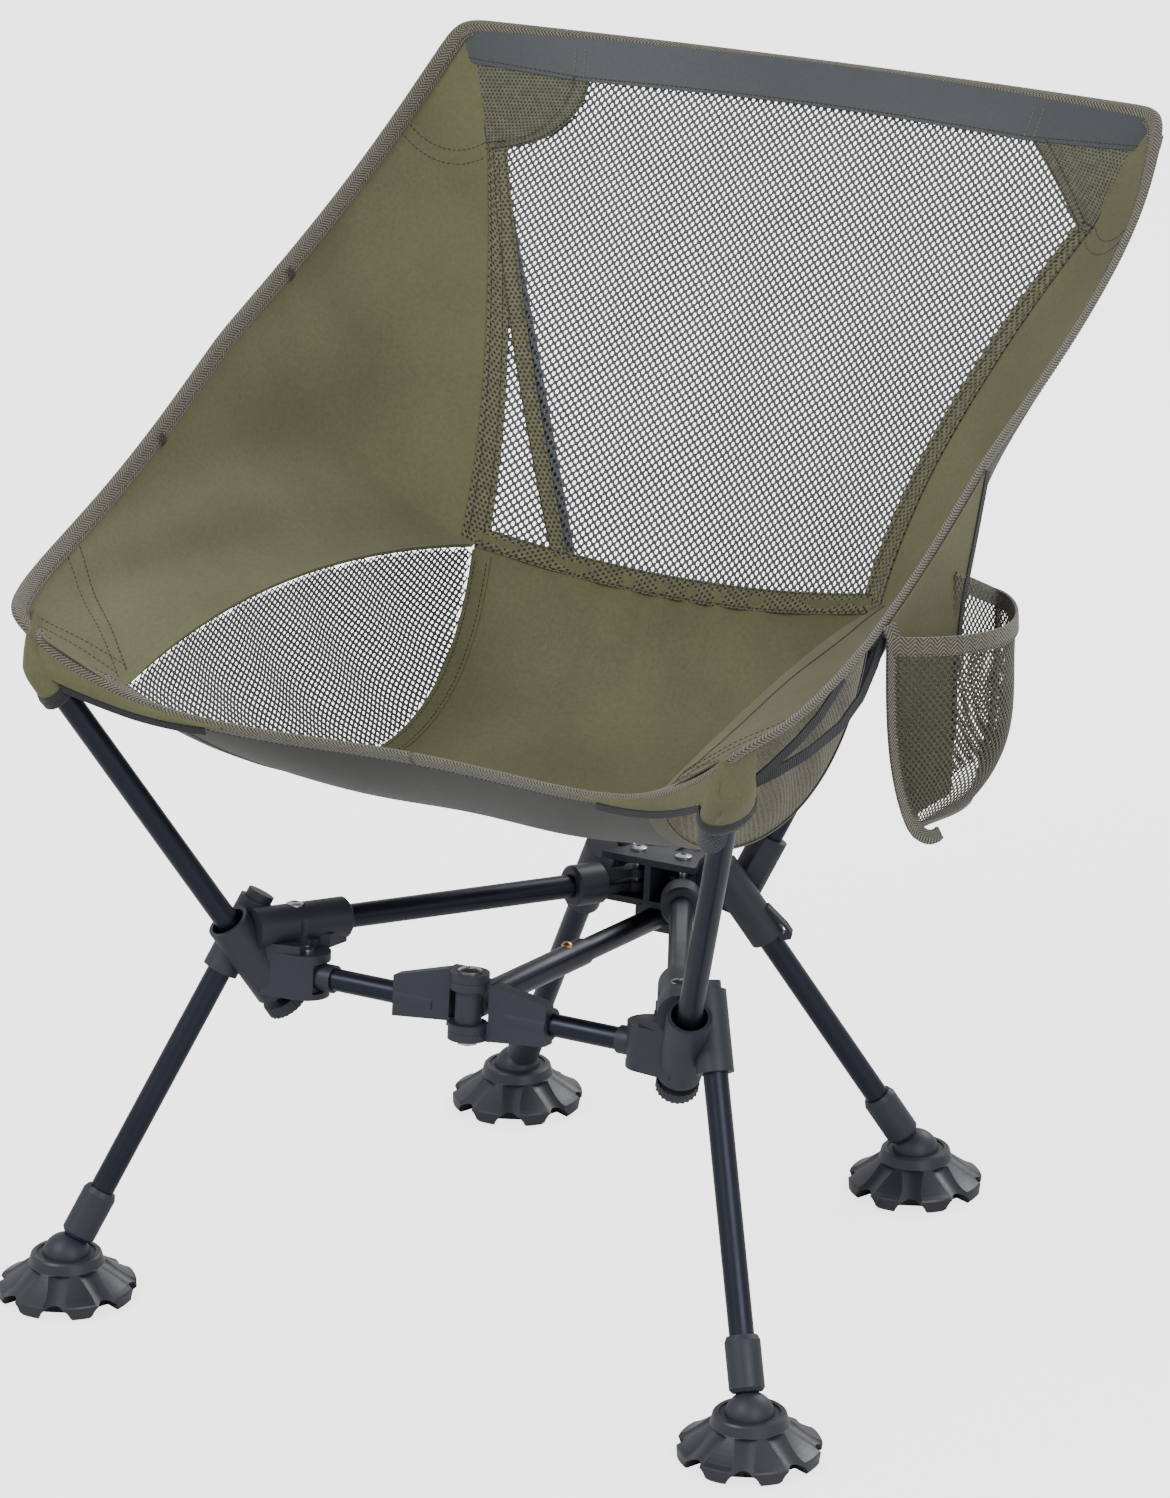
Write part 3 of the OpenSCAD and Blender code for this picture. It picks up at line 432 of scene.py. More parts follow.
OLIVE = (0.112, 0.114, 0.053)
M_OLIVE = woven("olive_cloth", OLIVE)
M_SEAT = woven("seat_cloth", (0.118, 0.120, 0.057))
M_UNDER = woven("under_cloth", (0.038, 0.037, 0.033), 0.8, 0.3, 0.5, 0.1)
M_BAND = woven("band_cloth", (0.032, 0.040, 0.045), 0.7, 0.18, 0.42, 0.1)
M_OUTSIDE = woven("outside_cloth", (0.064, 0.063, 0.038), 0.7, 0.25, 0.6, 0.05)
M_NET = knit("grey_mesh", (0.062, 0.064, 0.070))
M_NET_OUT = knit("olive_mesh", (0.105, 0.100, 0.058))
M_CUP = knit("cup_mesh", (0.060, 0.059, 0.036))
M_SPACER = perforated("spacer_mesh", (0.120, 0.118, 0.060), (0.012, 0.012, 0.008))
M_EAR = perforated("ear_mesh", (0.105, 0.106, 0.066), (0.018, 0.019, 0.014), 2.4, 2.1, 0.27)
M_TAPE = herringbone("edge_tape", (0.175, 0.163, 0.122), (0.026, 0.024, 0.018))
M_RIB = ribbed("ribbed_tape", (0.150, 0.140, 0.098), (0.06, 0.056, 0.04))
M_THREAD = knit("thread", (0.026, 0.026, 0.016), 0.55, 3000)
M_THREAD_LIGHT = knit("thread_light", (0.13, 0.14, 0.13), 0.55, 3000)
M_BLACK = ribbed("black_webbing_and_slit_shadow", (0.020, 0.021, 0.028), (0.006, 0.006, 0.009))
M_PAD = perforated("padded_mesh", (0.018, 0.020, 0.036), (0.004, 0.004, 0.008), 2.2, 2.0, 0.3)

M_TUBE = plain("anodised_tube", (0.016, 0.019, 0.033), 0.36, 0.75, 0.05, 1800, 0.15)
M_PLASTIC = plain("moulded_nylon", (0.023, 0.026, 0.038), 0.46, 0.0, 0.18, 1300, 0.0, 0.42)
M_RUBBER = plain("moulded_foot", (0.021, 0.023, 0.032), 0.40, 0.0, 0.2, 1100, 0.1, 0.45)
M_STEEL = brushed("zinc_steel", (0.55, 0.56, 0.58), 0.28)
M_BRASS = brushed("brass", (0.62, 0.40, 0.17), 0.3)

for name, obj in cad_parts.items():
    if name == "snap_button":
        mat = M_BRASS
    elif name in ("pivot_screws", "rear_axles", "hinge_bolt", "snap_spring") or "screws" in name:
        mat = M_STEEL
    elif "tube" in name or name == "strut_sleeve":
        mat = M_TUBE
    elif "foot" in name:
        mat = M_RUBBER
    else:
        mat = M_PLASTIC
    obj.data.materials.clear()
    obj.data.materials.append(mat)

# ---------------------------------------------------------------- cloth pieces

HUB = "hub"
FOLD_FRONT = (V3([0.665, -0.747, 0.0]), V3([0.0, CORNER_Y + 53, 0.0]), 190.0)
FOLD_REAR = (V3([0.509, 0.0, 0.861]), V3([24.0, 0.0, TOP_Z - 4]), 112.0)
MIDDLE_Y = -30.0


class Piece:
    """Faces in millimetres with a material and per-corner UVs, turned into meshes at the end."""

    def __init__(self, name):
        self.name, self.verts, self.uvs, self.faces, self.mats, self.list = name, [], [], [], [], []
        self.count = 0

    def add(self, verts, faces, uvs, mat):
        if mat not in self.list:
            self.list.append(mat)
        k = self.list.index(mat)
        self.verts.append(np.asarray(verts, float))
        self.uvs.append(np.asarray(uvs, float))
        self.faces += [tuple(int(i) + self.count for i in f) for f in faces]
        self.mats += [k] * len(faces)
        self.count += len(verts)

    def mirrored(self, name):
        other = Piece(name)
        other.verts = [flip(v) for v in self.verts]
        other.uvs, other.list, other.mats = list(self.uvs), list(self.list), list(self.mats)
        other.count = self.count
        other.faces = [f[::-1] for f in self.faces]
        return other

    def build(self, name, keep):
        verts = (np.concatenate(self.verts) + OFFSET) * MM
        uvs = np.concatenate(self.uvs)
        faces = [f for f, k in zip(self.faces, keep) if k]
        mats = [m for m, k in zip(self.mats, keep) if k]
        flat = np.array([i for f in faces for i in f])
        used, inverse = np.unique(flat, return_inverse=True)
        sizes = [len(f) for f in faces]
        cuts = np.cumsum(sizes)[:-1]
        mesh = bpy.data.meshes.new(name)
        mesh.from_pydata(verts[used].tolist(), [], [c.tolist() for c in np.split(inverse, cuts)])
        layer = mesh.uv_layers.new(name="uv")
        loops = np.zeros(len(mesh.loops), np.int32)
        mesh.loops.foreach_get("vertex_index", loops)
        layer.data.foreach_set("uv", uvs[used][loops].astype(np.float32).ravel())
        for m in self.list:
            mesh.materials.append(m)
        mesh.polygons.foreach_set("material_index", mats)
        mesh.polygons.foreach_set("use_smooth", [True] * len(faces))
        mesh.set_sharp_from_angle(angle=math.radians(42))
        mesh.validate()
        obj = bpy.data.objects.new(name, mesh)
        bpy.context.scene.collection.objects.link(obj)
        return obj

    def ride(self, body, slot=None, replaces=()):
        obj = self.build(self.name, [True] * len(self.faces))
        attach(obj, body)
        if replaces:
            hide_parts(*replaces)
        return [obj]

    def bend(self, region, slot=None, replaces=()):
        """Splits the piece into front and rear, left and right quadrants, one object each; the front ones lie
        by the arms, the rear ones by the uprights.
        """
        verts = np.concatenate(self.verts)
        centre = np.array([verts[list(f)].mean(0) for f in self.faces])
        rear = centre[:, 1] > MIDDLE_Y if region == "both" else np.full(len(centre), region == "rear")
        right = centre[:, 0] >= 0
        made = []
        for is_rear in (False, True):
            for is_right in (False, True):
                keep = (rear == is_rear) & (right == is_right)
                if not keep.any():
                    continue
                side = "right" if is_right else "left"
                end = "rear" if is_rear else "front"
                many = (rear.any() and not rear.all()), (right.any() and not right.all())
                name = self.name + ("_" + end if many[0] else "") + ("_" + side if many[1] else "")
                obj = self.build(name, keep)
                direction, origin, reach = FOLD_REAR if is_rear else FOLD_FRONT
                d = direction / np.linalg.norm(direction)
                o = origin.copy()
                if not is_right:
                    d, o = flip(d), flip(o)
                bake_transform(obj)
                made.append(obj)
        if replaces:
            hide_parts(*replaces)
        return made


def toward_sitter(points, normals):
    sign = np.sign(np.mean(np.sum(normals * (SITTER - points), axis=-1)))
    return normals * (sign if sign else 1)


def grid_normals(p):
    return unit(np.cross(np.gradient(p, axis=0), np.gradient(p, axis=1)))


def grid_uv(p):
    """Millimetres along each row from its middle, and along the middle column."""
    n, m = p.shape[:2]
    across, down = np.linalg.norm(np.diff(p, axis=1), axis=2), np.linalg.norm(np.diff(p, axis=0), axis=2)
    row = np.concatenate([np.zeros((n, 1)), np.cumsum(across, axis=1)], axis=1)
    row -= row[:, m // 2][:, None]
    col = np.concatenate([np.zeros((1, m)), np.cumsum(down, axis=0)], axis=0)
    return np.stack([row, col], axis=-1)


def sheet(piece, p, mat, thick=0.9, lift=0.0, back_mat=None, facing=None):
    """Closed cloth sheet through the grid p of points, lifted towards the sitter."""
    n, m = p.shape[:2]
    nor = grid_normals(p)
    nor = toward_sitter(p, nor) if facing is None else nor * np.sign(np.mean(nor @ facing))
    uv = grid_uv(p).reshape(-1, 2)
    idx = np.arange(n * m).reshape(n, m)
    a, b, c, d = idx[:-1, :-1].ravel(), idx[:-1, 1:].ravel(), idx[1:, 1:].ravel(), idx[1:, :-1].ravel()
    quads = np.stack([a, b, c, d], axis=1)
    outward = np.cross(p[0, 1] - p[0, 0], p[1, 1] - p[0, 1]) @ nor[0, 0]
    if outward < 0:
        quads = quads[:, ::-1]
    top = (p + nor * (lift + thick / 2)).reshape(-1, 3)
    bot = (p + nor * (lift - thick / 2)).reshape(-1, 3)
    loop = np.concatenate([idx[0, :], idx[1:, -1], idx[-1, -2::-1], idx[-2:0:-1, 0]])
    k = n * m
    rim = [(a, b, b + k, a + k) for a, b in zip(loop, np.roll(loop, -1))]
    if outward >= 0:
        rim = [r[::-1] for r in rim]
    verts, uvs = np.concatenate([top, bot]), np.concatenate([uv, uv])
    front, back = quads.tolist(), (quads[:, ::-1] + k).tolist() + rim
    if back_mat is None:
        piece.add(verts, front + back, uvs, mat)
    else:
        piece.add(verts, front, uvs, mat)
        piece.add(verts, back, uvs, back_mat)
    return nor


def ribbon(piece, sections, mat, thick=1.0, lift=0.0, facing=None):
    """Strip through rows of cross-section points; the rows follow the seam."""
    return sheet(piece, sections, mat, thick, lift, None, facing)


def resample(path, step):
    path = np.asarray(path, float)
    s = np.concatenate([[0], np.cumsum(np.linalg.norm(np.diff(path, axis=0), axis=1))])
    n = max(2, int(round(s[-1] / step)) + 1)
    t = np.linspace(0, s[-1], n)
    return np.stack([np.interp(t, s, path[:, k]) for k in range(3)], axis=1)


def stitches(piece, path, normal, mat=None, pitch=3.1, long=2.3, radius=0.34, lift=0.5):
    """A row of thread stitches along a path; normal is one vector or one per point."""
    mat = mat or M_THREAD
    path = np.asarray(path, float)
    normal = np.broadcast_to(np.asarray(normal, float), path.shape)
    s = np.concatenate([[0], np.cumsum(np.linalg.norm(np.diff(path, axis=0), axis=1))])
    starts = np.arange(0.6, s[-1] - long, pitch)
    if not len(starts):
        return

    def at(t, arr):
        return np.stack([np.interp(t, s, arr[:, k]) for k in range(3)], axis=1)
    a, b = at(starts, path), at(starts + long, path)
    nor = unit(at(starts + long / 2, normal))
    t = unit(b - a)
    side = unit(np.cross(t, nor))
    nor = np.cross(side, t)
    rings = []
    for f, w, up in ((0.0, 0.55, -0.35), (0.25, 1.0, 0.1), (0.75, 1.0, 0.1), (1.0, 0.55, -0.35)):
        c = a + (b - a) * f + nor * (lift + up * radius)
        for ca, sa in ((1, 0), (0, 1), (-1, 0), (0, -1)):
            rings.append(c + radius * w * (side * ca + nor * sa))
    v = np.stack(rings, axis=1)
    n = len(starts)
    base = np.arange(n) * 16
    quads = []
    for r in range(3):
        for k in range(4):
            q = [r * 4 + k, r * 4 + (k + 1) % 4, (r + 1) * 4 + (k + 1) % 4, (r + 1) * 4 + k]
            quads.append(q)
    quads.append([3, 2, 1, 0])
    quads.append([12, 13, 14, 15])
    q = (base[:, None, None] + np.array(quads)[None]).reshape(-1, 4)
    piece.add(v.reshape(-1, 3), q.tolist(), np.zeros((n * 16, 2)), mat)


def on_surface(fn, us, vs):
    """Path of surface points and its normals towards the sitter."""
    us, vs = np.broadcast_arrays(np.asarray(us, float), np.asarray(vs, float))
    h = 0.004
    p = fn(us, vs)
    n = np.cross(fn(us + h, vs) - fn(us - h, vs), fn(us, vs + h) - fn(us, vs - h))
    return p, toward_sitter(p, unit(n))


def drape(base, e1, e2):
    """Maps flat lattice points along the third axis onto the surface grid base."""
    n, m = base.shape[:2]
    idx = np.arange(n * m).reshape(n, m)
    corners = idx[:-1, :-1], idx[:-1, 1:], idx[1:, 1:], idx[1:, :-1]
    quads = np.stack([c.ravel() for c in corners], axis=1)
    tree = BVHTree.FromPolygons(base.reshape(-1, 3).tolist(), quads.tolist())
    e1, e2 = unit(V3(e1)), unit(V3(e2))
    d = np.cross(e1, e2)
    flat = base.reshape(-1, 3) @ np.stack([e1, e2], axis=1)

    def mapper(q):
        pos, nor, ok = np.zeros((len(q), 3)), np.zeros((len(q), 3)), np.zeros(len(q), bool)
        for i, (a, b) in enumerate(q):
            hit, hn, _, _ = tree.ray_cast(Vector(a * e1 + b * e2 - d * 900), Vector(d))
            if hit is not None:
                pos[i], nor[i], ok[i] = hit, hn, True
        nor = nor * np.sign(np.mean(np.sum(nor[ok] * (SITTER - pos[ok]), axis=1)))
        return pos, nor, ok
    return mapper, flat.min(0), flat.max(0)


def net(piece, mapping, mats, inside, pitch=(5.0, 5.2), hole=(1.28, 1.75), thick=0.55, pucker=None):
    """Open mesh with oval holes in a staggered lattice; mats are the inner and outer yarn."""
    mapper, lo, hi = mapping
    ci = np.arange(int(lo[0] * 2 / pitch[0]) - 1, int(hi[0] * 2 / pitch[0]) + 2)
    cj = np.arange(int(lo[1] * 2 / pitch[1]) - 1, int(hi[1] * 2 / pitch[1]) + 2)
    gi, gj = np.meshgrid(ci, cj, indexing="ij")
    even = (gi + gj) % 2 == 0
    cells = np.stack([gi[even], gj[even]], axis=1)
    cells = cells[inside(cells * V3([pitch[0] / 2, pitch[1] / 2]))]
    offs = V3([[2, 0], [1, 1], [0, 2], [-1, 1], [-2, 0], [-1, -1], [0, -2], [1, -1]]).astype(int)
    keys = (cells[:, None, :] * 2 + offs[None]).reshape(-1, 2)
    uniq, inv = np.unique(keys, axis=0, return_inverse=True)
    inv = inv.reshape(-1, 8)
    ang = np.arange(8) * math.pi / 4
    ring = np.stack([hole[0] * np.cos(ang), hole[1] * np.sin(ang)], axis=1)
    inner = (cells[:, None, :] * V3([pitch[0] / 2, pitch[1] / 2]) + ring[None]).reshape(-1, 2)
    flat = np.concatenate([uniq * V3([pitch[0] / 4, pitch[1] / 4]), inner])
    pos, nor, ok = mapper(flat)
    if pucker is not None:
        pos = pos + nor * pucker(flat)[:, None]
    no = len(uniq)
    good = ok[inv].all(1) & ok[no + np.arange(len(cells) * 8).reshape(-1, 8)].all(1)
    inv, which = inv[good], np.where(good)[0]
    inn = no + which[:, None] * 8 + np.arange(8)[None]
    nxt = np.roll(np.arange(8), -1)
    k = len(flat)
    top = np.stack([inv, inv[:, nxt], inn[:, nxt], inn], axis=2).reshape(-1, 4)
    wall = np.stack([inn, inn[:, nxt], inn[:, nxt] + k, inn + k], axis=2).reshape(-1, 4)
    edges = np.stack([inv, inv[:, nxt]], axis=2).reshape(-1, 2)
    both = {tuple(e) for e in edges.tolist()}
    rim = [(b, a, a + k, b + k) for a, b in both if (b, a) not in both]
    verts = np.concatenate([pos + nor * thick / 2, pos - nor * thick / 2])
    uv = np.concatenate([flat, flat])
    a, b, c = pos[top[0, 0]], pos[top[0, 1]], pos[top[0, 2]]
    turn = np.cross(b - a, c - b) @ nor[top[0, 0]] < 0
    order = (lambda q: q[:, ::-1]) if turn else (lambda q: q)
    rim = [r[::-1] for r in rim] if turn else rim
    piece.add(verts, order(top).tolist(), uv, mats[0])
    piece.add(verts, order(top[:, ::-1] + k).tolist() + order(wall).tolist() + rim, uv, mats[1])


def polygon_test(poly):
    x, y = poly[:, 0], poly[:, 1]
    x2, y2 = np.roll(x, -1), np.roll(y, -1)

    def inside(q):
        c = np.zeros(len(q), bool)
        for a, b, a2, b2 in zip(x, y, x2, y2):
            if b == b2:
                continue
            cross = ((b > q[:, 1]) != (b2 > q[:, 1])) & (q[:, 0] < (a2 - a) * (q[:, 1] - b) / (b2 - b) + a)
            c ^= cross
        return c
    return inside


def sweep(piece, path, across, normal, section, mat, closed=False):
    """Closed cross-section (across, out) swept along a path; UVs run along it and round it."""
    path = np.asarray(path, float)
    n, k = len(path), len(section)
    sec = np.asarray(section, float)
    v = path[:, None, :] + sec[None, :, 0:1] * across[:, None, :] + sec[None, :, 1:2] * normal[:, None, :]
    along = np.concatenate([[0], np.cumsum(np.linalg.norm(np.diff(path, axis=0), axis=1))])
    girth = np.concatenate([[0], np.cumsum(np.linalg.norm(np.diff(sec, axis=0), axis=1))])
    uv = np.stack(np.broadcast_arrays(along[:, None], girth[None]), axis=2)
    idx = np.arange(n * k).reshape(n, k)
    i2 = np.roll(np.arange(k), -1)
    rows = n if closed else n - 1
    pairs = [(idx[i], idx[(i + 1) % n]) for i in range(rows)]
    quads = [(a[j], a[i2[j]], b[i2[j]], b[j]) for a, b in pairs for j in range(k)]
    caps = [] if closed else [tuple(idx[0, ::-1]), tuple(idx[-1])]
    area = np.sum(sec[:, 0] * np.roll(sec[:, 1], -1) - np.roll(sec[:, 0], -1) * sec[:, 1])
    hand = np.sum(np.cross(across[0], normal[0]) * (path[1] - path[0]))
    if area * hand > 0:
        quads, caps = [q[::-1] for q in quads], [c[::-1] for c in caps]
    piece.add(v.reshape(-1, 3), quads + caps, uv.reshape(-1, 2), mat)


def lin(a, b, n):
    return np.linspace(a, b, n)


# wings: solid cloth from the root seam to the outer edge
wing = Piece("wing_cloth")
v = lin(0.0, 1.0, 100)[:, None]
reach = 0.985 - 0.3 * np.exp(-v / 0.022) - 0.5 * np.exp(-(1 - v) / 0.022)
sheet(wing, on_wing(lin(-0.005, 1.0, 34)[None, :] * reach, v), M_OLIVE, 0.9, 0.0, M_OUTSIDE)
for off in (0.0, 4.6):
    v = lin(0.0, 0.515, 60)
    p, n = on_surface(on_wing, (2.6 + off) / 110 + 0 * v, v)
    stitches(wing, p, n)
# seams that gather the front corner, and the arc of the rear corner pocket
for du, tip in ((0.0, 0.155), (0.012, 0.168)):
    u = lin(0.05, 0.96, 30)
    p, n = on_surface(on_wing, u, 0.004 + tip * u ** 1.15 + du)
    stitches(wing, p, n)
for du in (0.0, 0.013):
    u = lin(0.1, 0.93, 26)
    p, n = on_surface(on_wing, u, 0.012 + du + 0.012 * bump(u))
    stitches(wing, p, n)
for dv in (0.0, 0.014):
    u = lin(0.08, 0.93, 24)
    p, n = on_surface(on_wing, u, 0.893 + dv - 0.012 * u - 0.02 * bump(u))
    stitches(wing, p, n)
# lapped hem under the root seam
v = lin(0.005, 0.515, 60)
hem = np.stack([on_wing(0 * v + a, v) for a in (0.0, 0.018, 0.05, 0.082)], axis=1)
ribbon(wing, hem, M_OLIVE, 0.7, 0.75)
wing_left = wing.mirrored("wing_cloth_left")
wing.name = "wing_cloth_right"
wing.bend("both", "olive_fabric", ["wing_right"])
wing_left.bend("both", "olive_fabric", ["wing_left"])

# seat: a deep bowl with a coated outside, and open mesh at both sides
seat = Piece("seat_cloth")
sheet(seat, on_seat(lin(-1.0, 1.0, 71)[None, :], lin(0.0, 1.018, 80)[:, None]), M_SEAT, 0.9, 0.0, M_UNDER)
for sgn in (-1, 1):
    v = lin(0.03, 0.985, 80)
    half = seat_side(v)[:, 0]
    for off in (1.5, 8.4):
        p, n = on_surface(on_seat, sgn * (1 - off / half), v)
        stitches(seat, p, n, lift=1.1)
    v = lin(0.0, 0.995, 80)
    half = seat_side(v)[:, 0]
    hem = np.stack([on_seat(sgn * (1 - o / half), v) for o in (-0.8, 1.2, 5.0, 8.8, 10.4)], axis=1)
    ribbon(seat, hem, M_SEAT, 0.7, 0.75)
    ribbon(seat, hem, M_RIB, 0.7, -0.85)
seat.bend("front", "olive_fabric", ["seat_panel"])

seat_net = Piece("seat_mesh")
base = on_side(lin(-0.02, 1.02, 50)[None, :], lin(0.0, 1.0, 110)[:, None])
v = lin(0.03, 0.985, 60)
region = np.concatenate([on_side(0 * v + 0.012, v), on_side(0 * v + 0.985, v)[::-1]])[:, 1:]
net(seat_net, drape(base, (0, 1, 0), (0, 0, 1)), (M_NET, M_NET_OUT), polygon_test(region),
    (4.9, 4.5), (1.26, 1.06))
seat_net_left = seat_net.mirrored("seat_mesh_left")
seat_net.name = "seat_mesh_right"
seat_net.bend("front", "mesh_fabric", ["side_panel_right"])
seat_net_left.bend("front", "mesh_fabric", ["side_panel_left"])

# back: open mesh framed by strips of spacer mesh
back_net = Piece("back_mesh")
base = on_back(lin(-1.02, 1.02, 90)[None, :], lin(0.0, 1.0, 70)[:, None])
lean = unit(on_back(0.0, 1.0) - on_back(0.0, 0.0))
tv = lin(0.02, 0.86, 40)
edge_in = V3([[p[0] - 3.5, p @ lean] for p in on_back(0 * tv + 1.0, tv)])
tu = lin(0.98, -0.98, 30)
top_in = V3([[p[0], p @ lean] for p in on_back(tu, 0 * tu + 0.965)])
low_in = V3([[p[0], p @ lean] for p in on_back(-tu, 0 * tu + 0.016)])
region = np.concatenate([edge_in, top_in, (edge_in * V3([-1, 1]))[::-1], low_in])
net(back_net, drape(base, (1, 0, 0), lean), (M_NET, M_NET), polygon_test(region), (5.0, 5.2), (1.14, 1.5),
    pucker=lambda q: 0.35 * np.sin(q[:, 0] * 0.05 + q[:, 1] * 0.08))
back_net.bend("rear", "mesh_fabric", ["back_panel"])

frame_cloth = Piece("back_strips")
v = lin(0.004, 0.858, 70)
wv = 0.52 + 0.38 * np.clip(v / 0.85, 0, 1)
side = np.abs(on_back(0 * v + 1.0, v)[:, 0])
for sgn in (-1, 1):
    cols = [on_back(1 - o / side, v) for o in (7.5, 4.0, 1.5)]
    cols += [on_wing(o / 110, wv) for o in (0.5, 3.0, 5.5)]
    strip = np.stack(cols, axis=1)
    if sgn < 0:
        strip = flip(strip)
    ribbon(frame_cloth, strip, M_SPACER, 1.3, 0.9)
    for col in (strip[:, 1], strip[:, 4]):
        nn = toward_sitter(strip, grid_normals(strip))[:, 2]
        stitches(frame_cloth, col, nn, lift=1.7)
# band along the seat seam
u = lin(-1.0, 1.0, 80)
rows = []
for k, o in enumerate((0.0, 0.012, 0.03, 0.044)):
    rows.append(on_back(u * (1 - 0.01 * k), 0 * u + o))
ribbon(frame_cloth, np.stack(rows, axis=1), M_SPACER, 1.3, 1.0)
for o in (0.005, 0.04):
    p, n = on_surface(on_back, u, 0 * u + o)
    stitches(frame_cloth, p, n, lift=1.8)
# slanting strip, on the left only
zz = lin(0.0, 1.0, 50)
slant = []
for o in (0.0, 3.2, 6.8, 10.5):
    x = mix(-188.0, -76.0, zz) - o
    vv = mix(0.845, 0.035, zz)
    ex = np.abs(on_back(0 * vv + 1, vv)[:, 0])
    slant.append(on_back(np.maximum(x / ex, -1.0), vv))
ribbon(frame_cloth, np.stack(slant, axis=1), M_SPACER, 1.3, 1.0)
for k in (0, 3):
    p = slant[k] if k == 0 else slant[3]
    shift = V3([-1.2 if k == 0 else 1.2, 0, 0])
    stitches(frame_cloth, p + shift, unit(V3([0, -0.865, 0.502])), lift=1.8)
frame_cloth.bend("rear", "olive_fabric")

# ear patches under the band's ends
ears = Piece("ear_patches")
v_top = 0.965
for sgn, corner in ((-1, 1.0), (1, 0.0)):
    rows = []
    for t in lin(0.0, 1.0, 26):
        u_in = 0.69 + 0.27 * (1 - math.cos(t * math.pi / 2)) if corner else 0.73 + 0.25 * t
        low_v = mix(0.935, 0.838, math.sin(t * math.pi / 2) if corner else t)
        line = []
        for q in lin(0.0, 1.0, 14):
            line.append(on_back(sgn * mix(u_in, 1.055, q), low_v))
        rows.append(line)
    rows = V3(rows)
    head = V3([[on_back(sgn * mix(0.69 if corner else 0.73, 1.055, q), v_top) for q in lin(0.0, 1.0, 14)]])
    rows = np.concatenate([head, rows])
    ribbon(ears, rows, M_EAR, 1.1, 1.5)
    for o in (0, 5):
        path = rows[1:, 1 if o else 0] + (V3([sgn * 3.5, 0, 3.0]) if o else V3([sgn * 0.8, 0, 0.8]))
        stitches(ears, path, unit(V3([0, -0.865, 0.502])), lift=2.4)
    tail = rows[-1]
    for o in (1.0, 5.0):
        stitches(ears, tail + V3([0, 0.55 * o, 0.86 * o]), unit(V3([0, -0.865, 0.502])), lift=2.4)
ears.bend("rear", "olive_fabric")

# band across the top, without its printing
band = Piece("top_band")
u = lin(-1.06, 1.06, 120)
x = on_back(u, 0 * u + 0.95)[:, 0]
ax = np.abs(x)
drop = np.where(ax < 148, 0.922 + 0.012 * (ax / 148) ** 2, 0.934 + 0.024 * (ax - 148) / 70)
rows = [on_back(u, mix(drop, 1.0, q)) for q in (0.0, 0.06, 0.3, 0.6, 0.9, 1.0)]
ribbon(band, np.stack(rows, axis=1), M_BAND, 1.0, 2.4)
p, n = on_surface(on_back, u, drop + 0.006)
stitches(band, p, n, lift=3.1, radius=0.28)
for xs in (-147, -153, 147, 153):
    k = np.interp(xs, x, u)
    d = np.interp(xs, x, drop)
    vv = lin(d + 0.004, 0.99, 12)
    p, n = on_surface(on_back, k + 0 * vv + 0.014 * (vv - d) * -np.sign(xs) * 4, vv)
    stitches(band, p, n, M_THREAD_LIGHT, lift=3.1, pitch=2.6, long=1.9, radius=0.42)
band.bend("rear", "olive_fabric")

# ---------------------------------------------------------------- edge binding

half = []
for t in lin(0.0, 0.93, 60):
    inward = on_seat(min(t / 0.749, 1.0), 0.06) if t < 0.7 else on_wing(min((t - 0.69) / 0.3, 0.9), 0.08)
    half.append((front_edge(t), inward - front_edge(t)))
for t in lin(0.0, 1.0, 130)[1:]:
    half.append((wing_edge(t), on_wing(0.86, min(max(t, 0.03), 0.97)) - wing_edge(t)))
for t in lin(0.93, 0.0, 60):
    half.append((top_edge(t), on_back(t, 0.95) - top_edge(t)))
pts = V3([h[0] for h in half])
inw = unit(V3([h[1] for h in half]))
full_p = np.concatenate([pts, flip(pts[::-1])[1:-1]])
full_i = np.concatenate([inw, flip(inw[::-1])[1:-1]])


def smooth_loop(arr, rounds):
    for _ in range(rounds):
        arr = 0.25 * np.roll(arr, 1, axis=0) + 0.5 * arr + 0.25 * np.roll(arr, -1, axis=0)
    return arr


def resample_loop(path, extra, step):
    closed = np.concatenate([path, path[:1]])
    more = np.concatenate([extra, extra[:1]])
    s = np.concatenate([[0], np.cumsum(np.linalg.norm(np.diff(closed, axis=0), axis=1))])
    t = np.linspace(0, s[-1], int(s[-1] / step), endpoint=False)
    pick = lambda arr: np.stack([np.interp(t, s, arr[:, k]) for k in range(3)], axis=1)
    return pick(closed), pick(more)


path, across = resample_loop(full_p, full_i, 3.0)
path = smooth_loop(path, 18)
tang = unit(np.roll(path, -1, axis=0) - np.roll(path, 1, axis=0))
across = unit(smooth_loop(unit(across - np.sum(across * tang, axis=1, keepdims=True) * tang), 24))
across = unit(across - np.sum(across * tang, axis=1, keepdims=True) * tang)
normal = unit(np.cross(tang, across))
normal = normal * np.where(np.sum(normal * (SITTER - path), axis=1, keepdims=True) > 0, 1, -1)
W = 8.5
SECTION = [(W, 0.5), (W, 1.5), (W - 1, 1.9), (2.0, 2.3), (0.4, 2.2), (-1.2, 1.6), (-2.0, 0.5), (-2.0, -0.5),
           (-1.2, -1.6), (0.4, -2.2), (2.0, -2.3), (W - 1, -1.9), (W, -1.5), (W, -0.5)]
tape = Piece("edge_tape")
sweep(tape, path, across, normal, SECTION, M_TAPE, closed=True)
for sgn in (1, -1):
    stitches(tape, path + across * (W - 1.7), normal * sgn, lift=2.0, radius=0.28)
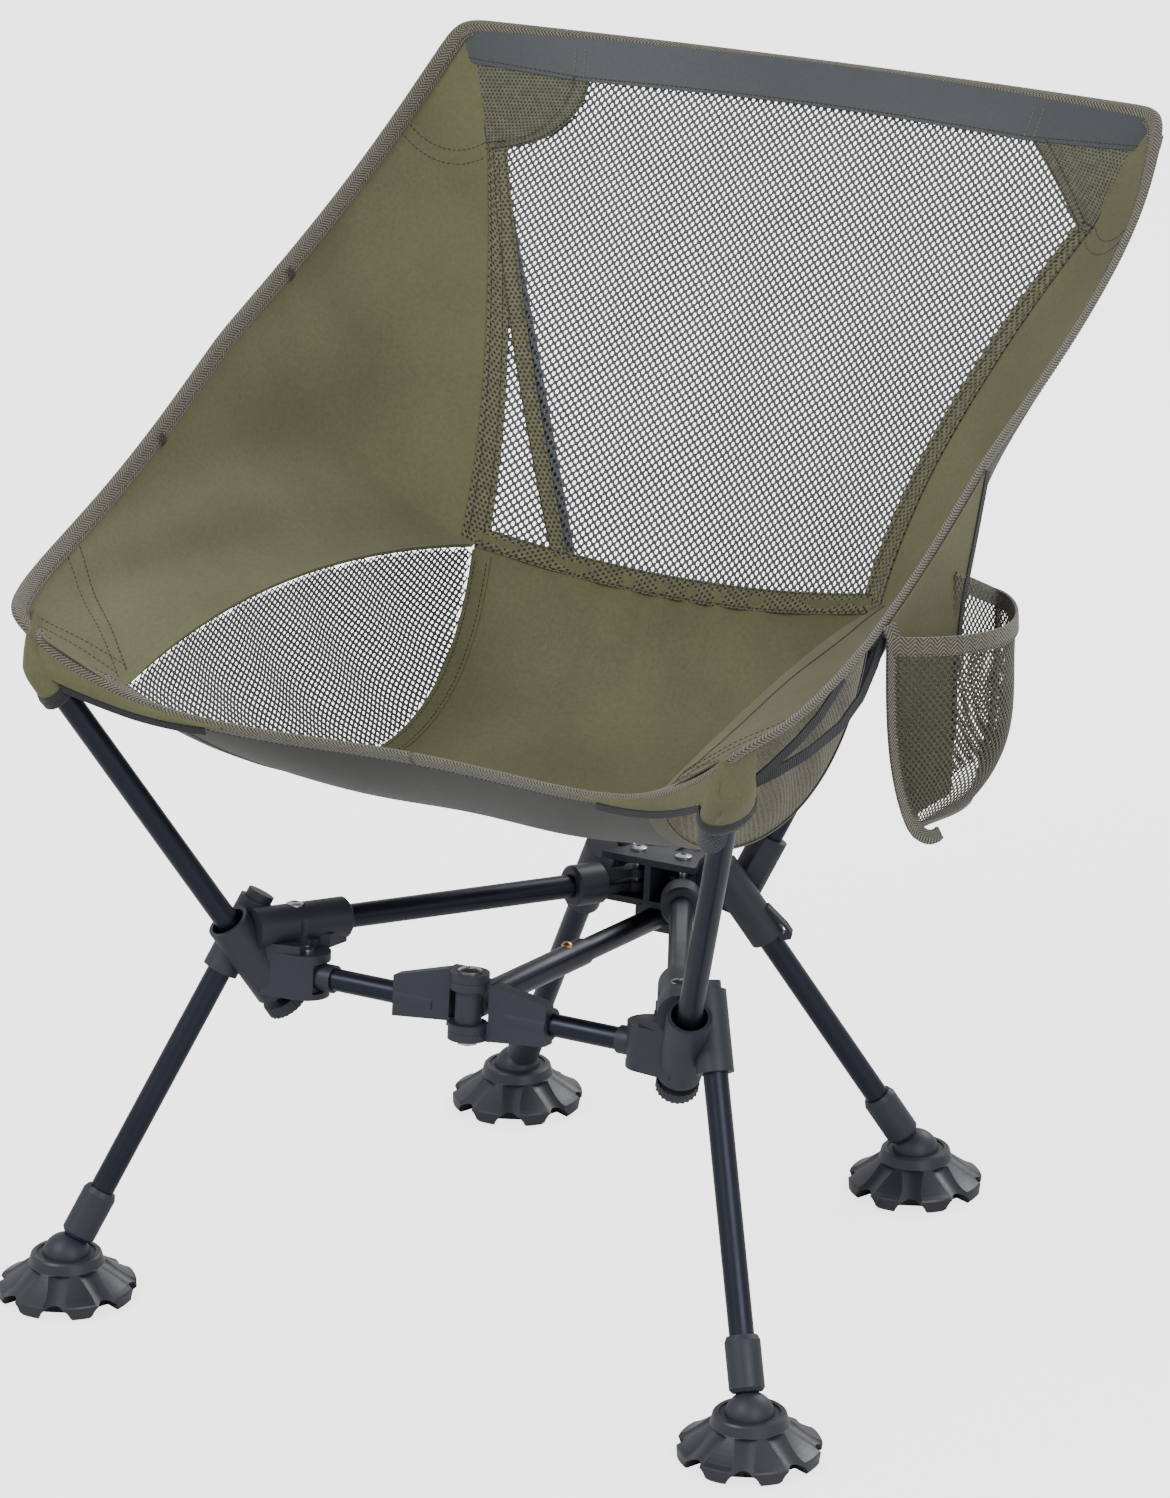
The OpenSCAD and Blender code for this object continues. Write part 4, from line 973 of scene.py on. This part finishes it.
for t, dark in ((0.355, -1), (0.635, -1), (0.235, 1), (0.245, 1)):
    k = np.argmin(np.linalg.norm(path - wing_edge(t) * V3([dark, 1, 1]), axis=1))
    for off in (-2.4, -0.8, 0.8, 2.4):
        a = path[k] + tang[k] * off
        q = lin(0, 6.2, 26)[:, None]
        loop = a + across[k] * (6.2 + 4.4 * np.cos(q)) + normal[k] * 2.7 * np.sin(q)
        out = across[k] * np.cos(q) + normal[k] * np.sin(q)
        stitches(tape, loop, out, pitch=2.3, long=2.1, radius=0.36, lift=0.1)
tape.bend("both", "binding", ["edge_binding"])

# ---------------------------------------------------------------- pockets, straps and the bottle net


def sleeve(piece, rings, mat, thick=1.0, inner_mat=None, capped=False):
    """Closed tube of cloth through rings of points, open at both ends unless the last is capped."""
    n, m = rings.shape[:2]
    du = np.roll(rings, -1, axis=1) - np.roll(rings, 1, axis=1)
    nor = unit(np.cross(du, np.gradient(rings, axis=0)))
    if np.sum(nor * (rings - rings.mean(1, keepdims=True))) < 0:
        nor = -nor
    outer, inner = (rings + nor * thick / 2).reshape(-1, 3), (rings - nor * thick / 2).reshape(-1, 3)
    idx = np.arange(n * m).reshape(n, m)
    nxt = np.roll(idx, -1, axis=1)
    quads = np.stack([idx[:-1], nxt[:-1], nxt[1:], idx[1:]], axis=2).reshape(-1, 4)
    a, b, c = outer[quads[0, 0]], outer[quads[0, 1]], outer[quads[0, 2]]
    if np.cross(b - a, c - b) @ nor[0, 0] < 0:
        quads = quads[:, ::-1]
        flipped = True
    else:
        flipped = False
    k = n * m
    rims = []
    for row, turn in ((0, not flipped), (n - 1, flipped)):
        if capped and row == n - 1:
            continue
        r = [(idx[row, i], nxt[row, i], nxt[row, i] + k, idx[row, i] + k) for i in range(m)]
        rims += r if not turn else [q[::-1] for q in r]
    caps = []
    if capped:
        caps = [tuple(idx[-1]), tuple(idx[-1][::-1] + k)]
        caps = [q[::-1] for q in caps] if flipped else caps
    ring_len = np.cumsum(np.linalg.norm(du, axis=2) / 2, axis=1)
    down = np.cumsum(np.linalg.norm(np.diff(rings.mean(1), axis=0), axis=1))
    down = np.broadcast_to(np.concatenate([[0], down])[:, None], (n, m))
    uv = np.stack([ring_len, down], axis=2).reshape(-1, 2)
    both, uvs = np.concatenate([outer, inner]), np.concatenate([uv, uv])
    piece.add(both, quads.tolist() + caps[:1], uvs, mat)
    piece.add(both, (quads[:, ::-1] + k).tolist() + rims + caps[1:], uvs, inner_mat or mat)


def ovals(stations, wide, deep, count=32):
    """Rings of (centre, half width, half depth)."""
    a = lin(0, 2 * math.pi, count + 1)[:-1]
    c, s_ = np.cos(a)[:, None], np.sin(a)[:, None]
    return np.stack([V3(p) + w * c * wide + d * s_ * deep for p, w, d in stations])


def square_to(axis, v):
    wide = unit(V3(v) - (V3(v) @ axis) * axis)
    return wide, np.cross(axis, wide)


def strap(piece, points, face, width, mat, thick=1.1, step=3.0):
    """Webbing along a smoothed line; face is the direction its flat side looks."""
    pts = V3(points).astype(float)
    for _ in range(3):
        mid = (pts[:-1] + pts[1:]) / 2
        pts = np.concatenate([pts[:1], mid, pts[-1:]]) if len(pts) > 3 else pts
    pts = resample(pts, step)
    t = unit(np.gradient(pts, axis=0))
    cross = unit(np.cross(t, V3(face)))
    rows = np.stack([pts + cross * width * q for q in (-0.5, 0, 0.5)])
    sheet(piece, rows, mat, thick, 0.0, None, V3(face))


arm_wide, arm_deep = square_to(ARM_DIR, [0.418, 0.871, 0.257])
corner_in = (front_edge(0.94) + wing_edge(0.02)) / 2 + V3([-1.5, 4.0, 1.0])


def sock(name, tongue):
    piece = Piece(name)
    along = lambda d: ARM_TIP + d * ARM_DIR
    end = along(21.5)
    stations = [(along(-2), 16.8, 9.8), (along(3), 16.4, 9.9), (along(9), 15.8, 10.0), (along(15), 15.2, 9.9),
                (along(19), 14.8, 9.2), (end, 14.2, 8.4), (mix(end, corner_in, 0.35), 13.4, 6.6),
                (mix(end, corner_in, 0.7), 12.6, 4.0), (mix(end, corner_in, 1.0), 12.0, 1.4)]
    rings = ovals(stations, arm_wide, arm_deep)
    sleeve(piece, rings, M_OLIVE, 1.0, M_OLIVE, True)
    rim = [(along(d), 16.8 + g, 9.8 + g)
           for d, g in ((-3.6, 0.4), (-3.2, 0.9), (0.5, 1.1), (3.6, 0.7), (4.0, 0.4))]
    sleeve(piece, ovals(rim, arm_wide, arm_deep), M_BLACK, 0.9)
    loop = ovals([(along(1.2), 18.2, 11.2)], arm_wide, arm_deep)[0]
    stitches(piece, loop, unit(loop - along(1.2)), lift=0.2, radius=0.22)
    for off in (-1.2, 0.4, 2.0) if tongue else ():
        tack = V3([along(d) + arm_wide * (-13.0 + off) - arm_deep * 7.0 for d in lin(9, 17, 8)])
        stitches(piece, tack, -arm_deep - 0.4 * arm_wide, M_THREAD_LIGHT, 2.0, 1.7, 0.35, 1.6)
    if tongue:
        rows = []
        for d in lin(4.0, -23.0, 22):
            spread = 1.05 * math.sqrt(max(0.04, 1 - max(0.0, (-9.0 - d) / 14.4) ** 2))
            q = lin(-spread, spread, 15)
            ring = along(d) - 12.4 * np.cos(q)[:, None] * arm_wide + 10.4 * np.sin(q)[:, None] * arm_deep
            rows.append(ring)
        sheet(piece, V3(rows), M_PAD, 2.6, 0.0, None, -arm_wide)
        edge = V3([r[0] for r in rows] + [r[-1] for r in rows[::-1]])
        out = unit(edge - along(-8))
        stitches(piece, edge, out, lift=0.6, radius=0.3)
    return piece


right_sock = sock("front_pocket_sock_right", True)
right_sock.ride("front_pocket_right", "olive_fabric", ["front_pocket_right"])
left_sock = sock("x", False).mirrored("front_pocket_sock_left")
left_sock.ride("front_pocket_left", "olive_fabric", ["front_pocket_left"])

# lap that covers the sock's top, with a black strip tucked under its lower edge as painted shadow of the slit
# behind it
lap_path, lap_drop = [], []
for t in lin(0.5, 0.955, 40):
    lap_path.append(front_edge(t))
    lap_drop.append(float(np.interp(t, [0.5, 0.75, 0.88, 1.0], [1.5, 8.5, 11.5, 14.5])))
lap_path = V3(lap_path)
for _ in range(12):
    lap_path[1:-1] = (lap_path[:-2] + 2 * lap_path[1:-1] + lap_path[2:]) / 4
lap_out = V3([0.12, -0.97, -0.2])
hang = V3([-0.06, 0.14, -0.99])
lap = Piece("front_lap")
swell = np.clip((lin(0.5, 0.955, len(lap_path)) - 0.74) / 0.18, 0, 1)[:, None] ** 2
rows = []
for q in (0.0, 0.3, 0.6, 0.85, 1.0):
    proud = 1.4 + 1.2 * math.sin(q * 3.1) + 6.0 * swell * q
    rows.append(lap_path + lap_out * proud + hang * V3(lap_drop)[:, None] * q)
rows = np.stack(rows, axis=1)
sheet(lap, rows, M_OLIVE, 0.8, 0.0, None, lap_out)
# black strip behind and below the lap's lower edge: painted shadow of the slit where the sock's top tucks in
under = rows[4:34, -1] + hang * 1.2 + lap_out * -0.9
slit_shadow_strip = np.stack([under, under + hang * 2.0, under + hang * 4.2], axis=1)
sheet(lap, slit_shadow_strip, M_BLACK, 1.0, 0.0, None, lap_out)
lap_left = lap.mirrored("front_lap_left")
lap.name = "front_lap_right"
lap.bend("front", "olive_fabric")
lap_left.bend("front", "olive_fabric")

# two thin straps from the sock's root to the ring on the edge
straps = Piece("side_straps")
root = ARM_TIP + 14 * ARM_DIR + arm_wide * 13
STRAP_FACE = (1, -0.25, -0.1)
short_way = [root, [238, -268, 407], [241, -244, 417], [243, -228, 424], [244, -216, 436]]
long_way = [root - arm_wide, [238, -262, 399], [242, -225, 403],
            [244, -200, 411], [245, -186, 422], [246, -173, 446]]
strap(straps, short_way, STRAP_FACE, 6.0, M_BLACK)
strap(straps, long_way, STRAP_FACE, 6.4, M_BLACK)
straps_left = straps.mirrored("side_straps_left")
straps.name = "side_straps_right"
straps.bend("front", "olive_fabric")
straps_left.bend("front", "olive_fabric")

# rear corner pockets over the uprights' ends
post_wide, post_deep = square_to(POST_DIR, [1.0, 0.0, 0.0])
rear_sock = Piece("rear_sock_left")
behind = V3([0.0, 0.865, -0.502])
up = lambda d: POST_END + d * POST_DIR + behind * 3.6 - V3([3.0, 0, 0])
top_in = (top_edge(0.95) + wing_edge(0.97)) / 2
stations = [(up(-46), 9.0, 8.4), (up(-30), 9.4, 8.4), (up(-10), 9.8, 8.2), (up(-2.0), 9.8, 7.4),
            (mix(up(-2.0), top_in + behind * 3, 0.5), 9.0, 4.6),
            (mix(up(-2.0), top_in + behind * 2, 0.9), 8.0, 1.6)]
sleeve(rear_sock, ovals(stations, post_wide, post_deep), M_OUTSIDE, 1.0, M_OLIVE, True)
rim = [(up(d), 9.2 + g, 8.6 + g) for d, g in ((-47.4, 0.4), (-47, 0.9), (-43, 1.1), (-40, 0.7), (-39.6, 0.4))]
sleeve(rear_sock, ovals(rim, post_wide, post_deep), M_BLACK, 0.9)
rear_left = rear_sock.mirrored("rear_sock_left")
rear_sock.name = "rear_sock_right"
rear_sock.ride("upright_right", "olive_fabric")
rear_left.ride("upright_left", "olive_fabric")

# bottle pocket: a flap from the edge, a D-shaped net cup and its tapes
cup_x, cup_out = cup_low[0] + 1.0, cup_high[0] - cup_low[0] - 3.0
y0, y1 = cup_low[1] - 6.0, cup_high[1] + 10.0
z0, z1 = cup_low[2] - 4.0, cup_low[2] + 110.0


def cup_surface(a, b):
    a, b = np.broadcast_arrays(np.asarray(a, float), np.asarray(b, float))
    c = np.clip(b, 0, 1)
    left = y0 + 30 * (1 - c) ** 3.0
    right = y1 - 34 * (1 - c) ** 3.2 - 3 * c
    z = mix(z0 + 3 * np.cos(math.pi * a), z1 + 8 * (1 - a) ** 2 - 3 * a, c)
    round_ = np.sin(math.pi * np.clip(a, 0, 1)) ** 0.72 * (1 - (1 - c) ** 3) ** 0.7
    dent = 3.0 * np.sin(5 * a + 4 * c) * bump(a) * bump(c)
    return stack(cup_x + (cup_out - 4) * round_ - dent, mix(left, right, a), z)


def grid_mapper(fn, length, height, outward):
    h = 0.004
    aa = lin(0, 1, 120)
    mid = fn(aa, 0 * aa + 0.7)
    s_ = np.concatenate([[0], np.cumsum(np.linalg.norm(np.diff(mid, axis=0), axis=1))])
    s_ = s_ / s_[-1]

    def mapper(q):
        a, b = np.interp(q[:, 0] / length, s_, aa), q[:, 1] / height
        p = fn(a, b)
        along_a = fn(np.clip(a + h, 0, 1), b) - fn(np.clip(a - h, 0, 1), b)
        n = unit(np.cross(along_a, fn(a, b + h) - fn(a, b - h)))
        n = n * np.sign(np.sum(n * outward))
        return p, n, np.ones(len(q), bool)
    return mapper, V3([0, 0]), V3([length, height])


LONG, TALL = 190.0, 114.0


def within(u0, u1, v0, v1):
    return lambda q: (q[:, 0] > u0) & (q[:, 0] < u1) & (q[:, 1] > v0) & (q[:, 1] < v1)


CUP_PITCH, CUP_HOLE, CUP_THICK = (5.2, 4.6), (1.55, 1.3), 0.6
pocket = Piece("bottle_net")
net(pocket, grid_mapper(cup_surface, LONG, TALL, V3([1, 0, 0])), (M_CUP, M_CUP),
    within(2, LONG - 2, 2, TALL - 6), CUP_PITCH, CUP_HOLE, CUP_THICK)
# solid flap behind the net, from the edge down
flap_z = lambda y: wing_edge((y - CORNER_Y) / (BACK_Y - CORNER_Y))[..., 2]
rows = []
for q in lin(0, 1, 30):
    right_y = np.interp(q, [0.0, 0.3, 0.52, 1.0], [-56.0, -88.0, -98.0, -99.0])
    hang_b = np.clip(mix(1.5, 0.05, q), 0, 1)
    line_y = lin(float(cup_surface(0.0, hang_b)[1]) + 2.5, right_y, 22)
    top_z = flap_z(line_y) - 1.0
    line_x = cup_x - 3.2 + 2.6 * np.sin(q * 2.2) + 1.5 * np.sin(line_y * 0.06) * q
    rows.append(stack(line_x, line_y, mix(top_z, z0 + 9, q)))
sheet(pocket, V3(rows), M_OLIVE, 0.9, 0.0, None, V3([1, 0, 0]))
border = V3([r[-1] for r in rows]) + V3([0.6, 0, 0])
strap(pocket, border[:24], (1, 0, 0), 4.5, M_BLACK, 1.2)
# net at the back of the mouth
back_top = lambda y: np.interp(y, [-99.0, y1], [464.0, z1 - 4])


def cup_back(a, b):
    a, b = np.broadcast_arrays(a, b)
    y = mix(-99.0, y1 - 3, a)
    return stack(cup_x - 1.0 + 0 * a, y, mix(z0 + 6, back_top(y), b))


net(pocket, grid_mapper(cup_back, 56.0, 112.0, V3([1, 0, 0])), (M_CUP, M_CUP),
    within(0.5, 55.5, 12, 109), CUP_PITCH, CUP_HOLE, CUP_THICK)
# rim tape round the mouth
a = lin(0, 1, 60)
back_line = V3([[cup_x - 1.2, y, back_top(y)] for y in lin(y1 - 5, -96.0, 16)])
mouth = np.concatenate([cup_surface(a, 0 * a + 1.0), back_line])
for _ in range(2):
    mouth[1:-1] = (mouth[:-2] + 2 * mouth[1:-1] + mouth[2:]) / 4
mouth_mid = mouth.mean(0)
out = unit((mouth - mouth_mid) * V3([1, 1, 0]))
RIM_SECTION = ((0.0, 0.4), (3.0, 0.9), (7.0, 1.0), (10.5, 0.7))
rim_rows = np.stack([mouth + out * g + V3([0, 0, -d]) for d, g in RIM_SECTION], axis=1)
sheet(pocket, rim_rows, M_TAPE, 1.6, 0.0, None, V3([1, -0.5, 0]))
stitches(pocket, rim_rows[:60, 3] + out[:60] * 0.9 + V3([0, 0, 1.2]), out[:60], lift=0.3, radius=0.26)
# binding down the left edge, with its curled tail
side_b = lin(1.08, 0.0, 26)
edge_line = cup_surface(0 * side_b, side_b)
tail = V3([edge_line[-1] + V3(d) for d in ([2, 4, -5], [4, 9, -8], [6, 14, -8.5], [7, 17, -6])])
side_line = np.concatenate([V3([[cup_x - 2.5, y0 - 0.5, float(flap_z(V3(y0)))]]), edge_line, tail])
strap(pocket, side_line, (0.9, -0.45, 0), 8.0, M_TAPE, 2.2, 2.5)
low_line = cup_surface(lin(0, 1, 40), 0 * lin(0, 1, 40) + 0.01)
right_line = cup_surface(0 * side_b + 1.0, side_b[::-1])[:24]
strap(pocket, np.concatenate([low_line, right_line]), (1, -0.2, -0.4), 4.0, M_TAPE, 1.6, 2.5)
pocket.ride(HUB, "olive_fabric", ["bottle_pocket"])

# ---------------------------------------------------------------- floor, light and camera

bpy.ops.mesh.primitive_plane_add(size=1)
floor = bpy.context.object
floor.name = "floor"
floor.scale = (12, 12, 1)
floor.location = (0, 0, -0.0005)
fm, fn_nodes, fl = new_material("floor_paint")
fn_nodes["Principled BSDF"].inputs["Base Color"].default_value = (0.62, 0.62, 0.62, 1)
fn_nodes["Principled BSDF"].inputs["Roughness"].default_value = 0.8
fn_nodes["Principled BSDF"].inputs["Emission Color"].default_value = (1, 1, 1, 1)
# brighter to the camera than it is as a light, so that the background stays pale
FLOOR_SEEN, SKY_SEEN, SKY_LIGHT = 2.4, 2.1, 0.8
camera_ray = fn_nodes.new("ShaderNodeLightPath").outputs["Is Camera Ray"]
seen = math_node(fn_nodes, fl, "MULTIPLY", camera_ray, FLOOR_SEEN)
fl.new(seen, fn_nodes["Principled BSDF"].inputs["Emission Strength"])
floor.data.materials.append(fm)


def area(name, location, target, size, power, color=(1, 1, 1)):
    data = bpy.data.lights.new(name, "AREA")
    data.shape = "DISK"
    data.size, data.energy, data.color = size, power, color
    o = bpy.data.objects.new(name, data)
    bpy.context.scene.collection.objects.link(o)
    o.location = Vector(location) + Vector(OFFSET * MM)
    o.rotation_euler = (Vector(target) - Vector(location)).to_track_quat("-Z", "Y").to_euler()
    return o


key = area("key", (-1.2, -2.4, 2.8), (0, 0, 0.35), 1.6, 62)
fill = area("fill", (2.4, -1.6, 1.6), (0, 0, 0.3), 2.0, 34)
back_light = area("rim", (0.6, 2.6, 2.2), (0, 0, 0.35), 1.8, 45)
world = bpy.data.worlds.new("studio")
bpy.context.scene.world = world
world.use_nodes = True
world.node_tree.nodes["Background"].inputs[0].default_value = (1, 1, 1, 1)
sky = world.node_tree.nodes["Background"].inputs[1]
wn, wl = world.node_tree.nodes, world.node_tree.links
camera_ray = wn.new("ShaderNodeLightPath").outputs["Is Camera Ray"]
wl.new(math_node(wn, wl, "MULTIPLY_ADD", camera_ray, SKY_SEEN, SKY_LIGHT), sky)

cam_data = bpy.data.cameras.new("camera")
cam_data.lens = 159.3
cam_data.sensor_width = 36
cam = bpy.data.objects.new("camera", cam_data)
bpy.context.scene.collection.objects.link(cam)
CAMERA_AT, CAMERA_LOOK = Vector((1.7377, -3.1834, 1.5724)), Vector((0.0230, -0.0990, 0.3214))
cam.location = CAMERA_AT + Vector(OFFSET * MM)
cam.rotation_euler = (CAMERA_LOOK - CAMERA_AT).to_track_quat("-Z", "Y").to_euler()
bpy.context.scene.camera = cam

bpy.context.view_layer.update()
